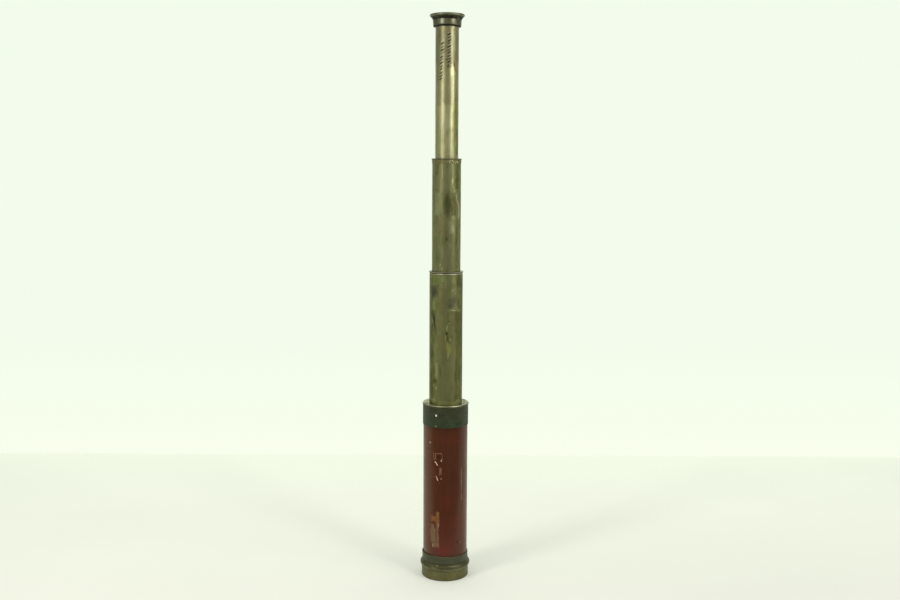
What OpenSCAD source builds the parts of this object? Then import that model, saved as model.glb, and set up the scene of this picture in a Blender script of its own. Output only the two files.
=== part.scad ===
// Three-draw hand telescope: a wooden barrel with brass ferrules, three brass
// draw tubes, a doublet objective under a slip-on cap, a two-lens erector and a
// two-lens eyepiece under a flared eye cup with a swinging dust shutter.
// It stands on its objective end: z = 0 is the outside face of the cap, and the
// optical axis is the Z axis. The draws are modelled pulled out. Millimetres.

/* [Barrel] */
// Outside diameter of the wooden barrel
barrel_d = 57.2; // [56.8:0.1:57.6]
// Wall thickness of the wooden barrel
barrel_wall = 3; // [2.9:0.1:3.1]
// Height of the barrel's eye-end face above the resting face
barrel_top = 229.9; // [215:0.1:260]
// How far the upper ferrule's sleeve reaches down the barrel
upper_ferrule_h = 26.0; // [25.5:0.1:34]
// Outside diameter of the upper ferrule
upper_ferrule_d = 58.6; // [58.3:0.1:59.2]
// Outside diameter of the mouth ring's lip
mouth_ring_d = 59.9; // [59.3:0.1:61]
// Thickness of the mouth ring's lip
mouth_ring_t = 2.3; // [1.6:0.1:3]
// Number of fixing screws in each row round the upper ferrule
screws_per_row = 4; // [3:1:6]
// Angle of the first screw round the barrel, counted from +X towards +Y
screw_angle = 246.3; // [0:0.1:360]

/* [Objective end] */
// Outside diameter of the lower ferrule
lower_ferrule_d = 59.4; // [58.8:0.1:60]
// Height of the lower ferrule's upper edge
lower_ferrule_top = 32.1; // [31.6:0.1:38]
// Outside diameter over the objective cell's grip bead
bead_d = 64.5; // [62:0.1:67]
// Outside diameter of the objective cell's mouth, under the cap
mouth_d = 59.5; // [59:0.1:59.9]
// Radial clearance between the cell's mouth and the cap
cap_clearance = 0.05; // [0.03:0.01:0.1]
// Sheet thickness of the cap's skirt
cap_wall = 0.55; // [0.4:0.05:0.8]
// Height of the cap
cap_h = 12.6; // [8:0.1:12.9]
// Radius of the objective lenses
objective_r = 24.35; // [24:0.05:24.4]
// Radius of curvature of the crown lens's two faces
crown_curve = 191; // [150:1:260]

/* [Draw tubes] */
// Outside diameter of the third draw, the one that slides in the barrel
draw_3_d = 42.5; // [42.3:0.1:42.7]
// Outside diameter of the second draw
draw_2_d = 36.5; // [36.3:0.1:36.7]
// Outside diameter of the first draw, the one that holds the eyepiece
draw_1_d = 29.3; // [29.1:0.1:29.5]
// Wall thickness of the draw tubes
tube_wall = 0.7; // [0.6:0.05:0.75]
// Radial clearance between each draw and its spring sleeve
slide_clearance = 0.05; // [0.02:0.01:0.08]
// Free travel of the third draw, from the barrel's face to the draw's lip
draw_3_out = 167.7; // [120:0.1:168]
// Free travel of the second draw, from the third draw's lip to its own band
draw_2_out = 135.7; // [100:0.1:136]
// Free travel of the first draw, from the second draw's lip to the eye cup
draw_1_out = 161.8; // [120:0.1:162]
// Length of the third draw held inside the barrel
draw_3_held = 34.4; // [33:0.1:36]
// Length of the second draw held inside the third
draw_2_held = 63.6; // [60:0.1:66]
// Length of the first draw held inside the second
draw_1_held = 38.4; // [37:0.1:42]
// Number of spring slots in each sleeve
sleeve_slots = 4; // [3:1:6]

/* [Eye cup] */
// Diameter over the eye cup's flared rim
eye_rim_d = 43.6; // [43:0.1:46]
// Height of the eye cup
eye_cup_h = 14.9; // [14.9:0.1:15.5]
// Radius of the viewing hole
eye_hole_r = 4; // [3:0.1:4.2]
// Angle that the shutter leaf swings from open to shut
shutter_swing = 55; // [52:1:58]

/* [Hidden] */
$fn = 96;

fit = 0.03;        // radial gap of a screwed or pressed joint between two fixed pieces
close_fit = 0.02;  // gap of a closer joint
seat = 0.03;       // axial gap where two fixed pieces seat on each other
end_gap = 0.1;     // axial gap beyond the end of a tube in its socket
over = 1;          // how far a cutter runs past the face it opens

// Radii: "_r" is an outside radius, "_bore" an inside radius
barrel_r = barrel_d / 2;
barrel_bore = barrel_r - barrel_wall;
ferrule_sleeve_r = barrel_bore + 0.82;  // the ferrules' inner sleeves sit in rebates in the wood
draw_3_r = draw_3_d / 2;
draw_3_bore = draw_3_r - tube_wall;
draw_2_r = draw_2_d / 2;
draw_2_bore = draw_2_r - tube_wall;
draw_1_r = draw_1_d / 2;
draw_1_bore = draw_1_r - tube_wall;
optics_r = draw_1_bore - 2.15;          // the erector and eyepiece tubes
optics_bore = optics_r - 0.8;

// Heights of the barrel's wood and ferrules
cell_shoulder_z = 22;
lower_ferrule_z = cell_shoulder_z + 0.05;
wood_bottom = 24.05;
mouth_lip_z = barrel_top - mouth_ring_t;
wood_top = mouth_lip_z - 1.65;
upper_ferrule_top = mouth_lip_z - seat;

// Heights of the draws: "_lip_z" and "_top" are the lip's lower and upper faces
draw_3_lip_z = barrel_top + draw_3_out;
draw_3_top = draw_3_lip_z + 2;
tube_3_top = draw_3_lip_z - 1.3;        // leaves a groove between the tube's end and the lip
tube_3_bottom = barrel_top - draw_3_held;
band_2_z = draw_3_top + draw_2_out;
draw_2_lip_z = band_2_z + 4.5;
draw_2_top = draw_2_lip_z + 1.6;
tube_2_bottom = draw_3_top - draw_2_held;
tube_1_bottom = draw_2_top - draw_1_held;

// Heights of the eye cup
cup_z = draw_2_top + draw_1_out;
cup_top = cup_z + eye_cup_h;
cup_socket_top = cup_z + 5.9;           // top of the first draw's socket in the eye cup
web_z = cup_top - 4.3;                  // the face that the shutter leaf swings on
plate_z = web_z + 1.35;
eye_bore_z = web_z - 1.9;               // top of the eyepiece tube's socket in the eye cup

// ---------- helpers ----------
// Profiles are lists of [radius, z]

module lathe(profile) {
    rotate_extrude() polygon(profile);
}

module ring(bore, outer, bottom, top) {
    translate([0, 0, bottom]) difference() {
        cylinder(r = outer, h = top - bottom);
        translate([0, 0, -over]) cylinder(r = bore, h = top - bottom + 2 * over);
    }
}

// Turned over, with the piece's z = 0 at the given height
module flipped(z) {
    translate([0, 0, z]) mirror([0, 0, 1]) children();
}

// A screwed surface as V grooves round a cylinder, from bottom to top
function vees(radius, bottom, top, pitch = 1, depth = 0.3) =
    let (count = floor((top - bottom) / pitch), step = (top - bottom) / count)
    [for (i = [0 : count - 1]) each [
        [radius, bottom + i * step],
        [radius, bottom + (i + 0.2) * step],
        [radius - depth, bottom + (i + 0.6) * step]
    ]];

// Points along an arc in the profile plane
function arc(centre_r, centre_z, radius, start, end, steps = 8) =
    [for (i = [0 : steps])
        let (angle = start + (end - start) * i / steps)
        [centre_r + radius * cos(angle), centre_z + radius * sin(angle)]];

// Depth of a spherical face of the given curvature, out to a radius
function sag(curve, radius) = curve - sqrt(curve * curve - radius * radius);

// A flat-and-convex lens, flat face at z = 0 and the bulge upwards
module plano_convex(radius, edge, curve) {
    height = edge + sag(curve, radius);
    intersection() {
        cylinder(r = radius, h = height + 1);
        translate([0, 0, height - curve]) sphere(r = curve, $fn = 180);
    }
}

// Two notches on opposite sides, running outwards from a start radius
module notch_pair(start, width, bottom, height) {
    for (angle = [0, 180])
        rotate(angle) translate([start, -width / 2, bottom]) cube([6, width, height]);
}

// Spring sleeve set just below a mouth, slotted from its lower end so that its
// fingers grip the draw
module spring_sleeve(bore, outer, mouth_z, reach, slot_h) {
    bottom = mouth_z - reach;
    top = mouth_z - 0.3;
    slot_w = 1;
    difference() {
        lathe([
            [bore + 0.4, bottom], [outer - 0.3, bottom], [outer, bottom + 0.4],
            [outer, top], [bore, top], [bore, bottom + 0.6]
        ]);
        for (i = [0 : sleeve_slots - 1])
            rotate(i * 360 / sleeve_slots + 45)
                translate([bore - over, -slot_w / 2, bottom - over])
                    cube([outer - bore + 2 * over, slot_w, slot_h + over]);
    }
}

// Stop ring on a draw's lower end: it meets the spring sleeve when the draw is
// pulled right out
module stop_ring(bore, outer, bottom, height) {
    bevel = 0.5;
    top = bottom + height;
    lathe([
        [bore, bottom], [outer - bevel, bottom], [outer, bottom + bevel],
        [outer, top - bevel], [outer - bevel, top], [bore, top]
    ]);
}

// Blackened glare stop: a shallow cup with a knife-edged hole
module baffle(outer, hole, bottom, height) {
    wall = 0.6;
    floor_z = bottom + 0.8;
    lathe([
        [hole, bottom], [outer, bottom], [outer, bottom + height],
        [outer - wall, bottom + height], [outer - wall, floor_z], [hole + 0.5, floor_z]
    ]);
}

// ---------- barrel ----------
screw_rows = [barrel_top - 12.3, barrel_top - 26.1];
upper_sleeve_h = 10;    // reach of the ferrules' inner sleeves into the wood
lower_sleeve_h = 7;
rebate_gap = 0.2;
sleeve_b_bore = draw_3_r + slide_clearance;
sleeve_b_r = sleeve_b_bore + 1.32;

// Stands the children radially, +Z outwards, at every screw's place
module screw_places() {
    for (z = screw_rows, i = [0 : screws_per_row - 1])
        rotate(screw_angle + i * 360 / screws_per_row)
            translate([0, 0, z]) rotate([0, 90, 0]) children();
}

module barrel_tube() {
    wood_h = wood_top - wood_bottom;
    rebate_r = ferrule_sleeve_r + fit;
    color("sienna") difference() {
        translate([0, 0, wood_bottom]) cylinder(r = barrel_r, h = wood_h);
        translate([0, 0, wood_bottom - over]) cylinder(r = barrel_bore, h = wood_h + 2 * over);
        translate([0, 0, wood_bottom - over])
            cylinder(r = rebate_r, h = lower_sleeve_h + rebate_gap + over);
        translate([0, 0, wood_top - upper_sleeve_h - rebate_gap]) cylinder(r = rebate_r, h = 12);
        screw_places() translate([0, 0, barrel_bore - over]) cylinder(r = 0.72, h = 8);
    }
}

module upper_ferrule() {
    outer = upper_ferrule_d / 2;
    bottom = upper_ferrule_top - upper_ferrule_h;
    sleeve_bottom = wood_top - upper_sleeve_h;
    color("darkslategray") difference() {
        lathe([
            [barrel_bore + fit, sleeve_bottom], [ferrule_sleeve_r, sleeve_bottom],
            [ferrule_sleeve_r, wood_top + seat], [barrel_r + fit, wood_top + seat],
            [barrel_r + fit, bottom], [outer - 0.25, bottom], [outer, bottom + 0.4],
            [outer, upper_ferrule_top], [barrel_bore + fit, upper_ferrule_top]
        ]);
        screw_places() translate([0, 0, barrel_r - 1.6]) cylinder(r = 0.74, h = 8);
    }
}

// Round-headed screw, head up, underside of the head at z = 0
module round_screw(shank) {
    slot_w = 0.34;
    difference() {
        union() {
            translate([0, 0, -shank]) cylinder(r = 0.7, h = shank + 0.2, $fn = 32);
            intersection() {
                cylinder(r = 1.4, h = 2, $fn = 48);
                translate([0, 0, -1.05]) sphere(r = 1.85, $fn = 64);
            }
        }
        translate([-2, -slot_w / 2, 0.45]) cube([4, slot_w, 2]);
    }
}

module upper_ferrule_screws() {
    color("gold") screw_places() translate([0, 0, upper_ferrule_d / 2 + 0.01])
        round_screw(upper_ferrule_d / 2 - ferrule_sleeve_r - 0.45);
}

module barrel_mouth_ring() {
    outer = mouth_ring_d / 2;
    bore = sleeve_b_r + fit;
    screwed_r = barrel_bore - close_fit;
    bottom = mouth_lip_z - 10.5;
    screwed_top = mouth_lip_z - 1.6;
    lip_half = mouth_ring_t / 2;
    color("darkkhaki") lathe(concat(
        [[bore, bottom]],
        vees(screwed_r, bottom, screwed_top),
        [[screwed_r, screwed_top], [screwed_r, mouth_lip_z], [outer - 0.45, mouth_lip_z]],
        arc(outer - lip_half, barrel_top - lip_half, lip_half, -65, 65),
        [
            [outer - 0.9, barrel_top], [outer - 1.6, barrel_top - 0.25],
            [bore + 1.5, barrel_top - 0.25], [bore + 1.1, barrel_top], [bore, barrel_top]
        ]
    ));
}

module barrel_guide_sleeve() {
    color("goldenrod") spring_sleeve(sleeve_b_bore, sleeve_b_r, barrel_top, 28.4, 20);
}

// ---------- objective end ----------
mouth_r = mouth_d / 2;
cap_bore = mouth_r + cap_clearance;
cap_r = cap_bore + cap_wall;

// Grip bead: an arc bulging from the cell's mouth
bead_z = 17;
bead_half = 3.8;
bead_sag = bead_d / 2 - (mouth_r + 0.1);
bead_curve = (bead_half * bead_half + bead_sag * bead_sag) / (2 * bead_sag);
bead_angle = asin(bead_half / bead_curve);

// Doublet
lens_seat_z = 9;
objective_cell_bore = objective_r + 0.15;
crown_edge_z = lens_seat_z + 0.05;
crown_edge = 1.6;
flat_r = objective_r - 0.85;    // the lenses' curved faces end at a narrow flat
crown_sag = sag(crown_curve, flat_r);
flint_z = crown_edge_z + crown_edge + 0.28;
flint_t = crown_sag + 2.2;

module lower_ferrule() {
    outer = lower_ferrule_d / 2;
    sleeve_top = wood_bottom + lower_sleeve_h;
    color("darkslategray") lathe([
        [barrel_bore + fit, lower_ferrule_z], [outer, lower_ferrule_z],
        [outer, lower_ferrule_top - 0.5], [outer - 0.4, lower_ferrule_top],
        [barrel_r + fit, lower_ferrule_top], [barrel_r + fit, wood_bottom - seat],
        [ferrule_sleeve_r, wood_bottom - seat], [ferrule_sleeve_r, sleeve_top],
        [barrel_bore + fit, sleeve_top]
    ]);
}

module objective_cell() {
    bore = objective_cell_bore;
    lip_bore = objective_r - 1.15;
    collar_r = lower_ferrule_d / 2;
    screwed_r = barrel_bore - 0.05;
    screwed_bottom = cell_shoulder_z + 0.5;
    screwed_top = 29;
    top = 29.4;
    color("darkolivegreen") lathe(concat(
        [
            [bore, lens_seat_z], [lip_bore, lens_seat_z], [lip_bore, lens_seat_z - 1.1],
            [mouth_r - 1.2, 1.25], [mouth_r - 0.3, 1.25], [mouth_r, 1.6], [mouth_r, 12.95]
        ],
        arc(bead_d / 2 - bead_curve, bead_z, bead_curve, -bead_angle, bead_angle, steps = 16),
        [
            [collar_r + 0.45, cell_shoulder_z - 1], [collar_r + 0.55, cell_shoulder_z - 0.5],
            [collar_r + 0.35, cell_shoulder_z],
            [screwed_r, cell_shoulder_z], [screwed_r, screwed_bottom]
        ],
        vees(screwed_r, screwed_bottom, screwed_top),
        [[screwed_r, screwed_top], [screwed_r - 0.3, top], [bore, top]]
    ));
}

module crown_lens() {
    color("lightcyan", 0.5) union() {
        translate([0, 0, crown_edge_z]) cylinder(r = objective_r, h = crown_edge);
        intersection() {
            translate([0, 0, crown_edge_z - 3]) cylinder(r = flat_r, h = 8);
            translate([0, 0, crown_edge_z - crown_sag + crown_curve])
                sphere(r = crown_curve, $fn = 240);
            translate([0, 0, crown_edge_z + crown_edge + crown_sag - crown_curve])
                sphere(r = crown_curve, $fn = 240);
        }
    }
}

module lens_spacer() {
    color("silver")
        ring(flat_r + 0.1, objective_r, crown_edge_z + crown_edge + 0.01, flint_z - 0.01);
}

module flint_lens() {
    color("aliceblue", 0.5) difference() {
        translate([0, 0, flint_z]) cylinder(r = objective_r, h = flint_t);
        intersection() {
            translate([0, 0, flint_z - 2]) cylinder(r = flat_r, h = 8);
            translate([0, 0, flint_z + crown_sag - crown_curve])
                sphere(r = crown_curve, $fn = 240);
        }
    }
}

module objective_retaining_ring() {
    bottom = flint_z + flint_t + seat;
    top = bottom + 3;
    screwed_r = objective_cell_bore - close_fit;
    color("goldenrod") difference() {
        lathe(concat(
            [[objective_r - 1.2, bottom]],
            vees(screwed_r, bottom, top),
            [[screwed_r, top], [objective_r - 0.8, top]]
        ));
        notch_pair(objective_r - 3, 2, bottom + 1.8, 3);
    }
}

module objective_cap() {
    corner = 1.2;
    sheet = 0.8;
    color("olive") lathe(concat(
        [[0, 0]],
        arc(cap_r - corner, corner, corner, -90, 0),
        [
            [cap_r, cap_h - 0.6], [cap_r - 0.12, cap_h], [cap_bore + 0.1, cap_h],
            [cap_bore, cap_h - 0.3], [cap_bore, 1.2], [cap_bore - 0.4, sheet], [0, sheet]
        ]
    ));
}

// ---------- third draw ----------
sleeve_3_bore = draw_2_r + slide_clearance;
sleeve_3_r = sleeve_3_bore + 1.1;
draw_baffle_h = 3.2;
draw_baffle_lift = 0.1;    // from the tube's lower end up to the baffle

// The part of a draw's collar that screws into the upper end of its tube
function collar_screw(collar_bore, tube_bore, tube_top) = concat(
    [[collar_bore, tube_top - 10]],
    vees(tube_bore - fit, tube_top - 10, tube_top - 1, depth = 0.25),
    [[tube_bore - fit, tube_top - 1]]
);

module draw_3_tube() {
    color("olive") ring(draw_3_bore, draw_3_r, tube_3_bottom, tube_3_top);
}

module draw_3_collar() {
    bore = sleeve_3_r + close_fit;
    color("darkkhaki") lathe(concat(
        collar_screw(bore, draw_3_bore, tube_3_top),
        [
            [draw_3_bore - fit, draw_3_lip_z], [draw_3_r + 0.15, draw_3_lip_z],
            [draw_3_r + 0.5, draw_3_lip_z + 0.7], [draw_3_r + 0.62, draw_3_top - 0.5],
            [draw_3_r + 0.5, draw_3_top - 0.15], [draw_3_r + 0.25, draw_3_top],
            [bore, draw_3_top]
        ]
    ));
}

module draw_3_guide_sleeve() {
    color("goldenrod") spring_sleeve(sleeve_3_bore, sleeve_3_r, draw_3_top, 35.6, 24);
}

module draw_3_stop_ring() {
    color("goldenrod") stop_ring(draw_3_r + fit, draw_3_r + 2.75, tube_3_bottom, 5.9);
}

module draw_3_baffle() {
    color("dimgray")
        baffle(draw_3_bore - close_fit, 16, tube_3_bottom + draw_baffle_lift, draw_baffle_h);
}

// ---------- second draw ----------
sleeve_2_bore = draw_1_r + slide_clearance;
sleeve_2_r = draw_2_bore - 0.95;
stop_clearance = 0.15;    // between a stop ring and the draw outside it

module draw_2_tube() {
    color("olive") ring(draw_2_bore, draw_2_r, tube_2_bottom, band_2_z);
}

// Collar with a plain band below its lip
module draw_2_collar() {
    bore = sleeve_2_r + close_fit;
    band_bottom = band_2_z + close_fit;
    color("darkkhaki") lathe(concat(
        collar_screw(bore, draw_2_bore, band_2_z),
        [
            [draw_2_bore - fit, band_bottom], [draw_2_r + 0.1, band_bottom],
            [draw_2_r + 0.2, band_2_z + 0.2], [draw_2_r + 0.25, draw_2_lip_z - 0.35],
            [draw_2_r + 0.1, draw_2_lip_z], [draw_2_r + 0.6, draw_2_lip_z + 0.25],
            [draw_2_r + 0.75, draw_2_top - 0.6], [draw_2_r + 0.65, draw_2_top - 0.15],
            [draw_2_r + 0.35, draw_2_top], [bore, draw_2_top]
        ]
    ));
}

module draw_2_guide_sleeve() {
    color("goldenrod") spring_sleeve(sleeve_2_bore, sleeve_2_r, draw_2_top, 27.4, 18);
}

module draw_2_stop_ring() {
    color("goldenrod")
        stop_ring(draw_2_r + close_fit, draw_3_bore - stop_clearance, tube_2_bottom, 6);
}

module draw_2_baffle() {
    color("dimgray")
        baffle(draw_2_bore - close_fit, 11.5, tube_2_bottom + draw_baffle_lift, draw_baffle_h);
}

// ---------- first draw, with the erector ----------
erector_top = tube_1_bottom + 72;
erector_curve = 16.6;
erector_edge = 1;
erector_ring_gap = 0.3;

// Lens cells of the erector and the field lens
lens_r = optics_bore - 1.5;
cell_h = 6.4;
cell_lip = 1;
cell_lens_z = cell_lip + close_fit;

module draw_1_tube() {
    color("khaki") ring(draw_1_bore, draw_1_r, tube_1_bottom, cup_socket_top - end_gap);
}

module draw_1_stop_ring() {
    color("goldenrod")
        stop_ring(draw_1_r + close_fit, draw_2_bore - stop_clearance, tube_1_bottom, 5.9);
}

module erector_tube() {
    bottom = tube_1_bottom + 0.2;
    foot_top = bottom + 6;
    foot_r = draw_1_bore - close_fit;
    color("darkgoldenrod") difference() {
        lathe(concat(
            [[optics_bore, bottom]],
            vees(foot_r, bottom, foot_top, depth = 0.25),
            [
                [foot_r, foot_top], [optics_r, foot_top + 0.4],
                [optics_r, erector_top], [optics_bore, erector_top]
            ]
        ));
        notch_pair(optics_bore - 1, 1.6, bottom - over, 2);
    }
}

// A lens cell as a short cup, lip at z = 0: it screws into its tube and the
// lens's flat face rests on its lip
module lens_cell() {
    screwed_r = optics_bore - close_fit;
    lip_bore = lens_r - 0.7;
    bore = lens_r + 0.05;
    lathe(concat(
        [[lip_bore, 0]],
        vees(screwed_r, 0, cell_h, depth = 0.2),
        [[screwed_r, cell_h], [bore, cell_h], [bore, cell_lip], [lip_bore, cell_lip]]
    ));
}

// The lens resting in a lens cell
module cell_lens(edge, curve) {
    translate([0, 0, cell_lens_z]) plano_convex(lens_r, edge, curve);
}

// The ring over a cell's lens, a gap beyond the lens's edge
module cell_ring(edge, gap) {
    bottom = cell_lens_z + edge + gap;
    lathe([
        [lens_r - 0.6, bottom + 0.45], [lens_r - 0.1, bottom], [lens_r + 0.03, bottom],
        [lens_r + 0.03, bottom + 1.6], [lens_r - 0.4, bottom + 1.6], [lens_r - 0.6, bottom + 1.3]
    ]);
}

module at_erector_bottom() {
    translate([0, 0, tube_1_bottom + 0.6]) children();
}

module erector_lower_cell() {
    color("goldenrod") at_erector_bottom() lens_cell();
}

module erector_lower_lens() {
    color("lightcyan", 0.5) at_erector_bottom() cell_lens(erector_edge, erector_curve);
}

module erector_lower_ring() {
    color("goldenrod") at_erector_bottom() cell_ring(erector_edge, erector_ring_gap);
}

module erector_stop() {
    color("dimgray") baffle(optics_bore - close_fit, 1.6, tube_1_bottom + 34, 4);
}

module erector_upper_cell() {
    color("goldenrod") flipped(erector_top) lens_cell();
}

module erector_upper_lens() {
    color("lightcyan", 0.5) flipped(erector_top) cell_lens(erector_edge, erector_curve);
}

module erector_upper_ring() {
    color("goldenrod") flipped(erector_top) cell_ring(erector_edge, erector_ring_gap);
}

// ---------- eyepiece ----------
eyepiece_bottom = cup_z - 48;
eyepiece_top = eye_bore_z - end_gap;
field_cell_z = eyepiece_bottom + cell_h;    // the field lens cell's lip, uppermost
field_edge = 1;
field_curve = 22;
eye_lens_r = 8;
eye_edge = 1.2;
eye_curve = 14;
eye_cell_z = eyepiece_top - close_fit;      // the eye lens cell's lip, uppermost
eye_cell_lip = 0.7;
eye_lens_z = eye_cell_lip + seat;           // from the cell's lip down to the lens

module eyepiece_tube() {
    screwed_z = eyepiece_top - 3.2;
    color("darkgoldenrod") lathe(concat(
        [[optics_bore, eyepiece_bottom], [optics_r, eyepiece_bottom], [optics_r, screwed_z]],
        vees(optics_r, screwed_z, eyepiece_top, pitch = 0.8, depth = 0.2),
        [[optics_r, eyepiece_top], [optics_bore, eyepiece_top]]
    ));
}

module field_lens_cell() {
    color("goldenrod") flipped(field_cell_z) lens_cell();
}

module field_lens() {
    color("lightcyan", 0.5) flipped(field_cell_z) cell_lens(field_edge, field_curve);
}

module field_lens_ring() {
    color("goldenrod") flipped(field_cell_z) cell_ring(field_edge, 0.25);
}

module eyepiece_field_stop() {
    color("dimgray") baffle(optics_bore - close_fit, 7, cup_z - 15, 4);
}

module eye_lens_cell() {
    height = 4.8;
    screwed_r = optics_bore - close_fit;
    lip_bore = eye_lens_r - 1;
    bore = eye_lens_r + 0.05;
    color("goldenrod") flipped(eye_cell_z) lathe(concat(
        [[lip_bore, 0]],
        vees(screwed_r, 0, height, pitch = 0.8, depth = 0.2),
        [[screwed_r, height], [bore, height], [bore, eye_cell_lip], [lip_bore, eye_cell_lip]]
    ));
}

module eye_lens() {
    color("lightcyan", 0.5) flipped(eye_cell_z - eye_lens_z)
        plano_convex(eye_lens_r, eye_edge, eye_curve);
}

module eye_lens_ring() {
    color("goldenrod") flipped(eye_cell_z - eye_lens_z - eye_edge) lathe([
        [eye_lens_r - 0.5, 0.55], [eye_lens_r - 0.2, 0.3], [eye_lens_r + 0.03, 0.3],
        [eye_lens_r + 0.03, 2], [eye_lens_r - 0.5, 2]
    ]);
}

// ---------- eye cup and shutter ----------
pivot_x = -10.5;
leaf_arm = -pivot_x;    // from the pivot to the leaf's centre, on the axis when shut
knob_arm = 16.6;        // from the pivot to the knob
plate_r = 18.4;
leaf_z = web_z + 0.06;
leaf_t = 0.72;
leaf_top = leaf_z + leaf_t;

module eye_cup() {
    rim_r = eye_rim_d / 2;
    flare_r = 17.95;    // where the flare starts
    flare_z = 7.4;
    flare_h = eye_cup_h - flare_z - 1.9;
    plate_bore = plate_r + 0.05;
    plate_seat_z = plate_z - seat;
    leaf_recess_r = 15.6;
    color("darkolivegreen") difference() {
        lathe(concat(
            [
                [draw_1_r + close_fit, cup_z], [17.1, cup_z], [17.45, cup_z + 0.4],
                [17.3, cup_z + 0.9], [17.55, cup_z + 1.3], [17.7, cup_z + 2.4],
                [17.8, cup_z + 5], [flare_r, cup_z + flare_z]
            ],
            [for (i = [1 : 10])
                let (t = i / 10)
                [flare_r + (rim_r - flare_r) * pow(t, 1.9), cup_z + flare_z + t * flare_h]],
            [
                [rim_r, cup_top - 1.2], [rim_r - 0.15, cup_top - 0.5],
                [rim_r - 0.5, cup_top - 0.08], [rim_r - 1, cup_top],
                [plate_r + 0.35, cup_top], [plate_bore, cup_top - 0.3],
                [plate_bore, plate_seat_z], [leaf_recess_r, plate_seat_z],
                [leaf_recess_r, web_z], [eye_hole_r + 0.6, web_z],
                [eye_hole_r + 1.2, eye_bore_z], [optics_r + close_fit, eye_bore_z],
                [optics_r + close_fit, cup_socket_top], [draw_1_r + close_fit, cup_socket_top]
            ]
        ));
        translate([pivot_x, 0, web_z - 1.6]) cylinder(r = 0.92, h = 3, $fn = 32);
    }
}

// An arc slot about the pivot, with nearly full round ends
module slot_arc(radius, half, start, end, height) {
    block = [4 * radius, 4 * radius, height + 2 * over];
    difference() {
        cylinder(r = radius + half, h = height);
        translate([0, 0, -over]) cylinder(r = radius - half, h = height + 2 * over);
        rotate(start) translate([-2 * radius, -4 * radius, -over]) cube(block);
        rotate(end) translate([-2 * radius, 0, -over]) cube(block);
    }
    for (angle = [start, end])
        rotate(angle) translate([radius, 0, 0]) cylinder(r = half - 0.05, h = height, $fn = 32);
}

module eye_face_plate() {
    color("darkolivegreen") difference() {
        lathe([
            [eye_hole_r, plate_z], [plate_r, plate_z], [plate_r, cup_top - 0.5],
            [plate_r - 0.3, cup_top - 0.35], [plate_r - 1, cup_top - 0.6],
            [plate_r - 1.6, plate_z + 1.75], [eye_hole_r + 1, plate_z + 1.05],
            [eye_hole_r + 0.5, plate_z + 0.95], [eye_hole_r, plate_z + 0.5]
        ]);
        translate([pivot_x, 0, plate_z - over]) slot_arc(knob_arm, 0.85, -shutter_swing - 1, 1, 6);
    }
}

// Open at rest: the leaf lies shutter_swing degrees clockwise of shut
module opened() {
    translate([pivot_x, 0, 0]) rotate(-shutter_swing) children();
}

module shutter_leaf() {
    arm_w = 2.6;
    color("goldenrod") opened() difference() {
        translate([0, 0, leaf_z]) union() {
            cylinder(r = 2.3, h = leaf_t, $fn = 48);
            translate([leaf_arm, 0, 0]) cylinder(r = 5, h = leaf_t);
            translate([knob_arm, 0, 0]) cylinder(r = 1.5, h = leaf_t, $fn = 48);
            translate([0, -arm_w / 2, 0]) cube([knob_arm, arm_w, leaf_t]);
        }
        translate([0, 0, leaf_z - over]) cylinder(r = 1.08, h = 3, $fn = 48);
        translate([knob_arm, 0, leaf_z - over]) cylinder(r = 0.47, h = 3, $fn = 32);
    }
}

// Pin in the leaf, stem through the plate's slot, and button on top
module shutter_knob() {
    color("gold") opened() translate([knob_arm, 0, 0]) union() {
        translate([0, 0, leaf_z + 0.05]) cylinder(r = 0.45, h = 1, $fn = 32);
        translate([0, 0, leaf_top + 0.01])
            cylinder(r = 0.65, h = plate_z + 1.95 - leaf_top, $fn = 32);
        translate([0, 0, plate_z + 1.85])
            lathe([[0, 0], [0.9, 0], [1.2, 0.3], [1.2, 0.6], [0.9, 0.85], [0, 0.95]]);
    }
}

// Shank in the web, shoulder through the leaf, and slotted head
module shutter_pivot_screw() {
    slot_w = 0.4;
    color("silver") difference() {
        translate([pivot_x, 0, 0]) union() {
            translate([0, 0, web_z - 1.5]) cylinder(r = 0.9, h = 2, $fn = 32);
            translate([0, 0, web_z + 0.02]) cylinder(r = 1.03, h = leaf_t + 0.12, $fn = 48);
            translate([0, 0, leaf_top + 0.06]) cylinder(r = 1.9, h = 0.42, $fn = 48);
        }
        translate([pivot_x - 3, -slot_w / 2, leaf_top + 0.26]) cube([6, slot_w, 1]);
    }
}

barrel_tube();
upper_ferrule();
upper_ferrule_screws();
barrel_mouth_ring();
barrel_guide_sleeve();
lower_ferrule();
objective_cell();
crown_lens();
lens_spacer();
flint_lens();
objective_retaining_ring();
objective_cap();
draw_3_tube();
draw_3_collar();
draw_3_guide_sleeve();
draw_3_stop_ring();
draw_3_baffle();
draw_2_tube();
draw_2_collar();
draw_2_guide_sleeve();
draw_2_stop_ring();
draw_2_baffle();
draw_1_tube();
draw_1_stop_ring();
erector_tube();
erector_lower_cell();
erector_lower_lens();
erector_lower_ring();
erector_stop();
erector_upper_cell();
erector_upper_lens();
erector_upper_ring();
eyepiece_tube();
field_lens_cell();
field_lens();
field_lens_ring();
eyepiece_field_stop();
eye_lens_cell();
eye_lens();
eye_lens_ring();
eye_cup();
eye_face_plate();
shutter_leaf();
shutter_knob();
shutter_pivot_screw();
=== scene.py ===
"""Looks for a three-draw hand telescope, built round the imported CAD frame.

It stands upright on the floor: +Z runs from the objective cap to the eye cup, the axis is x = y = 0.
Angles on the turned surfaces are in degrees, 0 at the front (-Y) and positive towards +X.
Lengths are millimetres and meshes are written in metres; the room, lights and camera are in metres.
"""

import functools
import math
from collections import namedtuple

import bmesh
import bpy
import numpy as np
from mathutils import Euler, Matrix, Vector

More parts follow.
